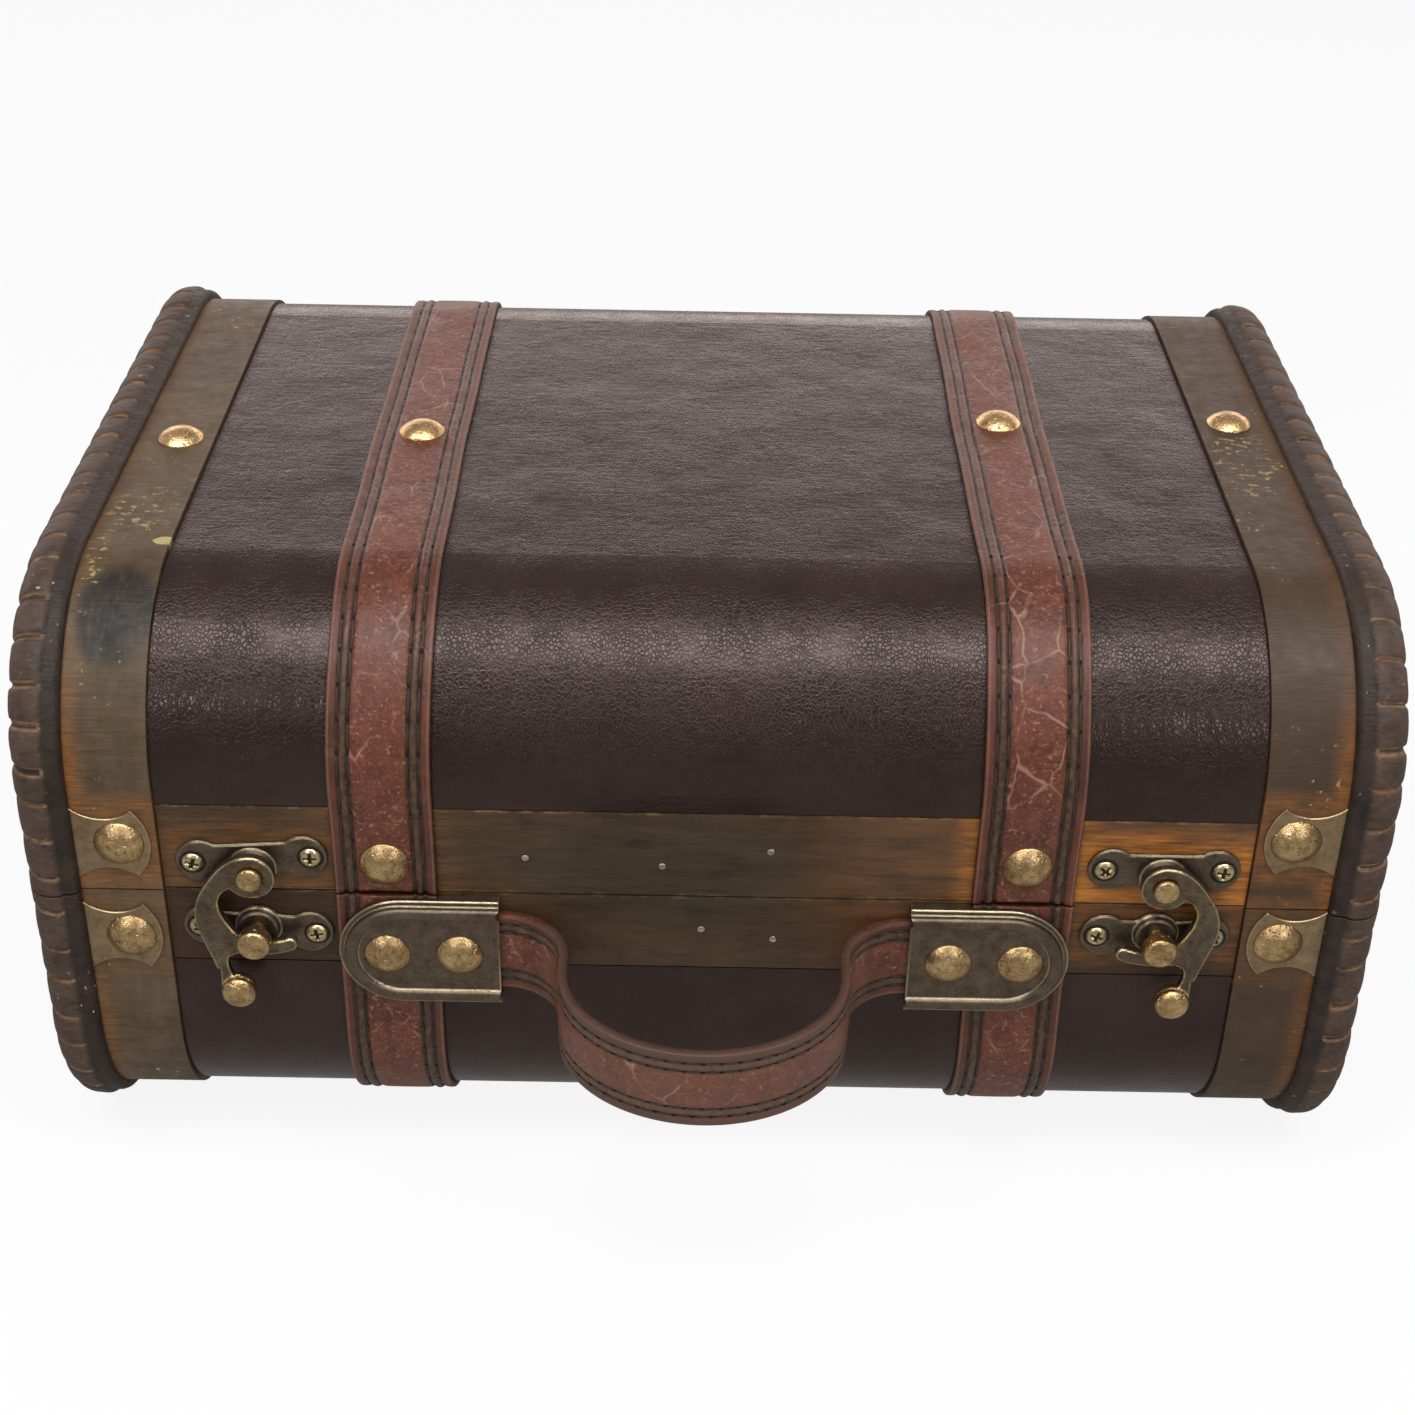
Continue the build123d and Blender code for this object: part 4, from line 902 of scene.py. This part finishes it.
# a flat near-black disc round each head: its painted shadow
ring = add(heads, "GeometryNodeMeshUVSphere", {"Segments": 32, "Rings": 8, "Radius": 1.0})
ring_size = add(heads, "ShaderNodeCombineXYZ", {"X": sizes["Ring Radius"], "Y": sizes["Ring Radius"],
                "Z": product(heads, sizes["Head Rise"], 0.25)})
ring = add(heads, "GeometryNodeTransform", {"Geometry": ring, "Scale": ring_size})
ring = add(heads, "GeometryNodeSetMaterial", {"Geometry": ring, "Material": sizes["Ring Shade Material"]})
fastener = add(heads, "GeometryNodeJoinGeometry", {0: cut_head})
heads.links.new(ring.outputs[0], fastener.inputs[0])
upright = add(heads, "FunctionNodeAlignRotationToVector", {"Vector": read(heads, "facing", "FLOAT_VECTOR")}, axis="Z")
number = calc(heads, "ADD", add(heads, "GeometryNodeInputIndex"), sizes["Seed"])
chance = add(heads, "ShaderNodeTexWhiteNoise", {"W": number}, noise_dimensions="1D")
spin = product(heads, chance, math.pi / 2)
spin = add(heads, "FunctionNodeAxisAngleToRotation", {"Axis": (0, 0, 1), "Angle": spin})
turned = add(heads, "FunctionNodeRotateRotation", {"Rotation": upright, "Rotate By": spin}, rotation_space="LOCAL")
seats = add(heads, "GeometryNodeMeshToPoints", {"Mesh": sizes["Geometry"]})
placed = add(heads, "GeometryNodeInstanceOnPoints", {"Points": seats, "Instance": fastener, "Rotation": turned})
real = add(heads, "GeometryNodeRealizeInstances", {0: placed})
add(heads, "NodeGroupOutput", {0: real})


def fasteners(name, spots, facing, body, slot, **inputs):
    """Heads on these points as one plain mesh that rides on a body."""
    piece = mesh_piece(name, spots, [], [])
    set_attribute(piece, "facing", list(facing) * len(spots), "FLOAT_VECTOR")
    run_tree(piece, heads, **inputs)
    shade_smooth(piece.data)
    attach(piece, body)
    print(name, len(spots), "heads,", len(piece.data.polygons), "faces")
    return piece


# %% Screws and brads
SCREW_SINK, BRAD_SINK = 0.75 * MM, 0.05 * MM
for node, part, seed in (("latch_screws", "lid", 3.0), ("catch_screws", "base", 11.0)):
    spots = [Vector((middle.x, front_y + SCREW_SINK, middle.z)) for middle, front_y in islands(node)]
    screws = fasteners(f"cross_{node}", spots, (0, -1, 0), part, "brass_screws", **{
        "Seed": seed, "Head Material": screw_brass, "Ring Shade Material": hole_and_ring_shade})
    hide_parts(node)
RAIL_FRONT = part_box("lid_front_rail")[0].y
BRADS = {"lid": ((-39.7, 9.7), (-9.6, 8.1), (14.2, 12.5)), "base": ((-0.8, -9.3), (15.4, -11.8))}
for part, places in BRADS.items():
    spots = [Vector((x * MM, RAIL_FRONT + BRAD_SINK, SEAM + rise * MM)) for x, rise in places]
    fasteners(f"{part}_rail_brads", spots, (0, -1, 0), part, "brass_screws", **{
        "Head Radius": 0.85 * MM, "Head Rise": 0.3 * MM, "Cross Depth": 0.0, "Ring Radius": 1.35 * MM, "Seed": 5.0,
        "Head Material": brad_steel, "Ring Shade Material": hole_and_ring_shade})

# %% [markdown]
# The hooks were cast and tumbled, so no edge on them is sharp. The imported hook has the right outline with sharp
# edges: its copy is merged and cleared of the triangles in its flat faces, and a Bevel modifier rounds every edge
# by half a millimetre. The cast thumb button is a low dome on both sides, so a flattened sphere is set into the
# packed disc, and as it is rubbed by every opening it takes the brighter finish.


# %% Rounded hooks
def rounded_copy(name, node, width_mm):
    """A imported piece's copy with every sharp edge rounded."""
    shape = bmesh.new()
    shape.from_mesh(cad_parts[node].data)
    bmesh.ops.remove_doubles(shape, verts=shape.verts, dist=0.01 * MM)
    bmesh.ops.dissolve_limit(shape, angle_limit=math.radians(1.5), verts=shape.verts, edges=shape.edges)
    mesh = bpy.data.meshes.new(name)
    shape.to_mesh(mesh)
    shape.free()
    shade_smooth(mesh)
    piece = place_mesh(name, mesh)
    bevel = piece.modifiers.new("tumbled_edges", "BEVEL")
    bevel.width, bevel.segments, bevel.limit_method = width_mm * MM, 3, "ANGLE"
    bevel.angle_limit = math.radians(40)
    bevel.harden_normals = True
    return settle(piece)


BUTTON_RISE, BUTTON_REACH = 4 * MM, 4.3 * MM
PEBBLE, PEBBLE_SINK = Vector((3.9, 2.0, 3.9)) * MM, 1.1 * MM
for side_name in ("left", "right"):
    node = f"latch_hook_{side_name}"
    hook = rounded_copy(f"tumbled_hook_{side_name}", node, 0.5)
    hook.data.materials.clear()
    hook.data.materials.append(hook_brass)
    hook.data.materials.append(dome_brass)
    low_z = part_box(node)[0].z
    lowest = [v.co.x for v in hook.data.vertices if v.co.z < low_z + BUTTON_RISE / 2]
    button_front = min(v.co.y for v in hook.data.vertices if v.co.z < low_z + BUTTON_RISE)
    button = Vector((sum(lowest) / len(lowest), button_front + PEBBLE_SINK, low_z + BUTTON_RISE))
    for face in hook.data.polygons:
        if math.hypot(face.center.x - button.x, face.center.z - button.z) < BUTTON_REACH:
            face.material_index = 1
    pebble = bmesh.new()
    pebble.from_mesh(hook.data)
    dome = bmesh.ops.create_uvsphere(pebble, u_segments=32, v_segments=16, radius=1.0)["verts"]
    for vert in dome:
        vert.co = button + PEBBLE * vert.co
    for face in {face for vert in dome for face in vert.link_faces}:
        face.smooth, face.material_index = True, 1
    pebble.to_mesh(hook.data)
    pebble.free()
    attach(hook, f"{side_name}_hook")
    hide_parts(node)
    print(hook.name, len(hook.data.polygons), "faces")

# %% [markdown]
# ## Straps
# A strap is a folded leather band: two seams along each edge hold the fold, the thread pulls a groove, and the
# welt between the seams stands up. One profile across the strap is carried along the section, and the groove
# sinks deeper at each needle hole. The lid strap's front end has curled, so its middle is a little short.

# %% The strap's profile
STITCH_PITCH = 7.4
# how far from the strap's edge, and how high above the case, in millimetres
STRAP_PROFILE = (
    (0.0, 0.0), (0.0, 1.0), (0.06, 1.3), (0.2, 1.44), (0.5, 1.5), (1.2, 1.53), (1.9, 1.48), (2.2, 1.34), (2.5, 1.2),
    (2.8, 1.34), (3.1, 1.56), (3.4, 1.66), (3.7, 1.69), (4.0, 1.66), (4.3, 1.54), (4.6, 1.34), (4.85, 1.2),
    (5.1, 1.34),
    (5.5, 1.52), (6.2, 1.6), (7.6, 1.62), (9.3, 1.64),
)


def across_profile(width, profile, crown):
    """The whole profile from edge to edge: place across, height and way from the edge, in millimetres."""
    left = [(-width / 2 + way, rise, way) for way, rise in profile]
    right = [(-across, rise, way) for across, rise, way in reversed(left)]
    return left + [(0.0, crown, width / 2)] + right


def groove_at(way, run_mm, pitch, phase):
    """How much deeper the thread pulls this place: most at the needle holes, least between them."""
    pull = 0.0
    for row, place in enumerate(STITCH_ROWS):
        off_row = (way - place) / 0.55
        pucker = 0.75 + 0.25 * math.cos(2 * math.pi * (run_mm / pitch + phase + 0.12 * row))
        pull += pucker * math.exp(-off_row * off_row)
    return 0.24 * pull


def loop_mesh(name, rings, materials):
    """A closed tube through rings of points with equal counts, capped at both ends."""
    width = len(rings[0])
    points = [point for ring in rings for point in ring]
    faces = [(i * width + j, i * width + (j + 1) % width, (i + 1) * width + (j + 1) % width, (i + 1) * width + j)
             for i in range(len(rings) - 1) for j in range(width)]
    last = (len(rings) - 1) * width
    faces.append(list(range(width))[::-1])
    faces.append([last + j for j in range(width)])
    return close_up(mesh_piece(name, points, faces, materials))


def wavy(run_mm, seed):
    """A slow wander of a hand-cut edge, in millimetres."""
    return 0.16 * math.sin(run_mm / 21 + seed) + 0.1 * math.sin(run_mm / 8.3 + 2.7 * seed)


def seam_wander(run_mm, seed):
    """How far a hand-guided seam strays from its row, in millimetres."""
    return 0.13 * math.sin(run_mm / 2.3 + seed) + 0.12 * math.sin(run_mm / 5.1 + 1.9 * seed)


# %% Strap meshes
STRAP_WIDTH, STRAP_CROWN, STRAP_X, STRAP_INSET = 22.5, 1.65, 70.5, 4.5
BOW, BOW_RUN = 1.2, 9.0
SEAM_RISE, SEAM_END = 1.0 * MM, 3 * MM
seam_rows = {}


def case_strap(name, side, lid):
    """A strap over the lid or under the base, and the paths of its four seams."""
    stations, total = section_path(STRAP_INSET * MM, lid, 0.8 * MM)
    profile = across_profile(STRAP_WIDTH, STRAP_PROFILE, STRAP_CROWN)
    phase = 0.37 * side + 0.21 * lid
    rings, ways, tops = [], [], []
    rows = {(edge, row): [] for edge in (-1, 1) for row in range(2)}
    for place, normal, run in stations:
        run_mm = run / MM
        shift = wavy(run_mm, 3.1 * side + lid)
        ring = []
        for across, rise, way in profile:
            deep = groove_at(way, run_mm, STITCH_PITCH, phase) if rise > 1.0 else 0.0
            bow = BOW * (1 - (2 * across / STRAP_WIDTH) ** 2) * max(0.0, 1 - run_mm / BOW_RUN) if lid else 0.0
            spot = place + normal * (rise - deep) * MM
            ring.append(spot + Vector(((side * STRAP_X + across + shift) * MM, 0, bow * MM)))
            ways.append(way * MM)
            tops.append(1.0 if rise > 1.0 else 0.0)
        rings.append(ring)
        for (edge, row), path in rows.items():
            across = edge * (STRAP_WIDTH / 2 - STITCH_ROWS[row])
            if SEAM_END < run < total - SEAM_END:
                stray = seam_wander(run_mm, 2.1 * edge + row + side)
                sideways = Vector(((side * STRAP_X + across + shift + stray) * MM, 0, 0))
                path.append((place + normal * SEAM_RISE + sideways, normal))
    strap = loop_mesh(name, rings, [strap_leather])
    set_attribute(strap, "edge_distance", ways)
    set_attribute(strap, "top_side", tops)
    return strap, list(rows.values())


for side, side_name in ((-1, "left"), (1, "right")):
    for lid, part in ((True, "lid"), (False, "base")):
        strap, rows = case_strap(f"{part}_leather_strap_{side_name}", side, lid)
        seam_rows.setdefault(part, []).extend(rows)
        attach(strap, part)
        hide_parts(f"{part}_strap_{side_name}")
        print(strap.name, len(strap.data.polygons), "faces")

# %% [markdown]
# ## Handle
# The handle is one strap with the same seams, padded in the middle. Both ends lie flat in their plates, bend
# away from the wall, and the middle stands out in an arch that hangs a little. It is one mesh here, and the
# further out a point is, the more it hangs about the axis the arch would swing on.

# %% The handle's way from plate to plate
HANDLE_Z, SWING_OUT, ROOT_RADIUS, HALF_SPAN, ARCH_RISE, TAB_END = 66.94, 20.0, 14.5, 30.5, 24.0, 57.5
HANDLE_WIDTH, HANDLE_THICK, DROOP = 20.4, 3.0, math.radians(3)
HANDLE_PITCH = 3.9
FLAT_OUT = HANDLE_THICK / 2
BEND_FROM, BEND_TO = 9, 28
TAB_STEPS, ROOT_STEPS, ARCH_STEPS = 15, 25, 60


def handle_way():
    """The leather's middle line seen from above: place along X, way out from the wall, and its own direction."""
    way = []
    root_x = HALF_SPAN + ROOT_RADIUS
    for step in range(TAB_STEPS):
        way.append((-TAB_END + (TAB_END - root_x) * step / TAB_STEPS, FLAT_OUT))
    for step in range(ROOT_STEPS + 1):
        turn = math.pi / 2 * step / ROOT_STEPS
        way.append((-root_x + ROOT_RADIUS * math.sin(turn), FLAT_OUT + ROOT_RADIUS * (1 - math.cos(turn))))
    way += [(-HALF_SPAN, 17.3), (-HALF_SPAN, 18.6)]
    for step in range(ARCH_STEPS + 1):
        turn = math.pi / 2 * step / ARCH_STEPS
        way.append((-HALF_SPAN * math.cos(turn), SWING_OUT + ARCH_RISE * math.sin(turn)))
    return way + [(-x, out) for x, out in reversed(way[:-1])]


def even_steps(way, step):
    """The same line with points at even steps."""
    lengths = [0.0]
    for (x0, y0), (x1, y1) in zip(way, way[1:]):
        lengths.append(lengths[-1] + math.hypot(x1 - x0, y1 - y0))
    count = round(lengths[-1] / step)
    even, index = [], 0
    for number in range(count + 1):
        run = lengths[-1] * number / count
        while index < len(way) - 2 and lengths[index + 1] < run:
            index += 1
        share = (run - lengths[index]) / (lengths[index + 1] - lengths[index])
        (x0, y0), (x1, y1) = way[index], way[index + 1]
        even.append((x0 + (x1 - x0) * share, y0 + (y1 - y0) * share, run))
    return even


def drooped(x, out, z):
    """A point of the handle in the case's own metres, hung down about the swing axis the further it is out."""
    share = min(max((out - BEND_FROM) / (BEND_TO - BEND_FROM), 0), 1)
    turn = DROOP * share * share * (3 - 2 * share)
    away = out - SWING_OUT
    new_out = SWING_OUT + away * math.cos(turn) + z * math.sin(turn)
    new_z = z * math.cos(turn) - away * math.sin(turn)
    return Vector((x * MM, WALL_Y - new_out * MM, (HANDLE_Z + new_z) * MM))


# %% The handle mesh
HANDLE_PROFILE = tuple((way, 0.95 + (rise - 0.9) * 0.62 if rise > 0.9 else 0.7) for way, rise in STRAP_PROFILE[1:])
PADDING, HANDLE_CROWN, THREAD_LIFT = 0.42, 1.45, 0.82
HANDLE_SEAM_END = 48
line = even_steps(handle_way(), 0.65)
outer = across_profile(HANDLE_WIDTH, HANDLE_PROFILE, HANDLE_CROWN)
rings, ways, tops = [], [], []
handle_rows = {(edge, row): [] for edge in (-1, 1) for row in range(2)}
for index, (x, out, run) in enumerate(line):
    x0, out0, _ = line[max(index - 1, 0)]
    x1, out1, _ = line[min(index + 1, len(line) - 1)]
    heading = Vector((x1 - x0, out1 - out0)).normalized()
    facing = Vector((-heading.y, heading.x))
    shift = wavy(run, 5.0) * 0.6
    ring = []
    for face, loop in ((1, outer), (-1, outer[::-1])):
        for across, rise, way in loop:
            swell = PADDING * max(0.0, 1 - ((HANDLE_WIDTH / 2 - way) / 6.0) ** 2) * 0.3
            deep = groove_at(way, run, HANDLE_PITCH, 0.3) * 0.7 if face > 0 else 0.0
            lift = face * (rise - 0.25 + swell - deep)
            ring.append(drooped(x + facing.x * lift, out + facing.y * lift, across + shift))
            ways.append(way * MM)
            # the back face takes a third of the top's welt, margin and seam marks, and is painted darker as shade
            tops.append(1.0 if face > 0 else 0.35)
    rings.append(ring)
    for (edge, row), path in handle_rows.items():
        across = edge * (HANDLE_WIDTH / 2 - STITCH_ROWS[row])
        if abs(x) < HANDLE_SEAM_END:
            spot = drooped(x + facing.x * THREAD_LIFT, out + facing.y * THREAD_LIFT, across + shift)
            path.append((spot, Vector((facing.x, -facing.y, 0))))
handle = loop_mesh("leather_handle", rings, [strap_leather])
set_attribute(handle, "edge_distance", ways)
set_attribute(handle, "top_side", tops)
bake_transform(handle)
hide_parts("handle_strap", "handle_end_left", "handle_end_right")
print("handle:", len(handle.data.polygons), "faces")

# %% [markdown]
# ## Stitches
# A machine seam is a row of equal stitches, each a short piece of thread that dives into a needle hole. The tree
# takes the seams as lines, divides them by the stitch length, and puts one stitch and one dark hole on each
# point, turned along the seam and out of the leather. The hole is a flat near-black dot, painted shade. Seam
# lines come from the same function as the straps.

# %% The stitching tree
stitching, sizes = new_tree("machine_stitches", {
    "Pitch": (FLOAT, STITCH_PITCH * MM), "Thread Width": (FLOAT, 0.5 * MM), "Hole Width": (FLOAT, 0.8 * MM),
    "Seed": (FLOAT, 1.0), "Thread Material": (MATERIAL, None), "Hole Shade Material": (MATERIAL, None),
})
curve = add(stitching, "GeometryNodeMeshToCurve", {0: sizes["Geometry"]})
even = add(stitching, "GeometryNodeResampleCurve", {"Curve": curve, "Length": sizes["Pitch"]}, mode="LENGTH")
tangent = add(stitching, "GeometryNodeInputTangent")
facing = read(stitching, "facing", "FLOAT_VECTOR")
turned = add(stitching, "FunctionNodeAlignRotationToVector", {"Vector": tangent}, axis="X")
turned = add(stitching, "FunctionNodeAlignRotationToVector", {"Rotation": turned, "Vector": facing}, axis="Z",
             pivot_axis="X")
number = calc(stitching, "ADD", add(stitching, "GeometryNodeInputIndex"), sizes["Seed"])
chance = add(stitching, "ShaderNodeTexWhiteNoise", {"W": number}, noise_dimensions="1D")
vary = calc(stitching, "MULTIPLY_ADD", chance, 0.3, 0.85)
strand = add(stitching, "GeometryNodeMeshUVSphere", {"Segments": 8, "Rings": 6, "Radius": 0.5})
long_way = product(stitching, sizes["Pitch"], 0.8)
strand_size = add(stitching, "ShaderNodeCombineXYZ", {"X": long_way, "Y": sizes["Thread Width"],
                  "Z": product(stitching, sizes["Thread Width"], 0.8)})
strand = add(stitching, "GeometryNodeTransform", {"Geometry": strand, "Scale": strand_size})
strand = add(stitching, "GeometryNodeSetMaterial", {"Geometry": strand, "Material": sizes["Thread Material"]})
# the needle hole is a flat near-black dot: painted shade
hole = add(stitching, "GeometryNodeMeshUVSphere", {"Segments": 8, "Rings": 4, "Radius": 0.5})
hole_size = add(stitching, "ShaderNodeCombineXYZ", {"X": product(stitching, sizes["Hole Width"], 1.35),
                "Y": sizes["Hole Width"], "Z": product(stitching, sizes["Hole Width"], 0.35)})
half_pitch = add(stitching, "ShaderNodeCombineXYZ", {"X": product(stitching, sizes["Pitch"], 0.5)})
hole = add(stitching, "GeometryNodeTransform", {"Geometry": hole, "Scale": hole_size, "Translation": half_pitch})
hole = add(stitching, "GeometryNodeSetMaterial", {"Geometry": hole, "Material": sizes["Hole Shade Material"]})
stitch = add(stitching, "GeometryNodeJoinGeometry", {0: strand})
stitching.links.new(hole.outputs[0], stitch.inputs[0])
scale = add(stitching, "ShaderNodeCombineXYZ", {"X": 1.0, "Y": vary, "Z": 1.0})
placed = add(stitching, "GeometryNodeInstanceOnPoints", {"Points": even, "Instance": stitch, "Rotation": turned,
             "Scale": scale})
real = add(stitching, "GeometryNodeRealizeInstances", {0: placed})
add(stitching, "NodeGroupOutput", {0: real})


def stitched(name, paths, pitch_mm, width_mm, seed):
    """All stitches of these seams as one plain mesh."""
    points, edges, facings = [], [], []
    for path in paths:
        first = len(points)
        points += [spot for spot, _ in path]
        edges += [(first + i, first + i + 1) for i in range(len(path) - 1)]
        for _, normal in path:
            facings += list(normal)
    piece = mesh_piece(name, points, [], [], edges=edges)
    set_attribute(piece, "facing", facings, "FLOAT_VECTOR")
    run_tree(piece, stitching, **{"Pitch": pitch_mm * MM, "Thread Width": width_mm * MM,
                                  "Hole Width": 1.6 * width_mm * MM,
                                  "Seed": seed, "Thread Material": thread, "Hole Shade Material": hole_and_ring_shade})
    shade_smooth(piece.data)
    print(name, len(piece.data.polygons), "faces")
    return piece


for part, rows in seam_rows.items():
    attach(stitched(f"{part}_strap_stitches", rows, STITCH_PITCH, 0.6, 4.0), part)
handle_stitches = stitched("handle_stitches", list(handle_rows.values()), HANDLE_PITCH, 0.55, 9.0)
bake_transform(handle_stitches)
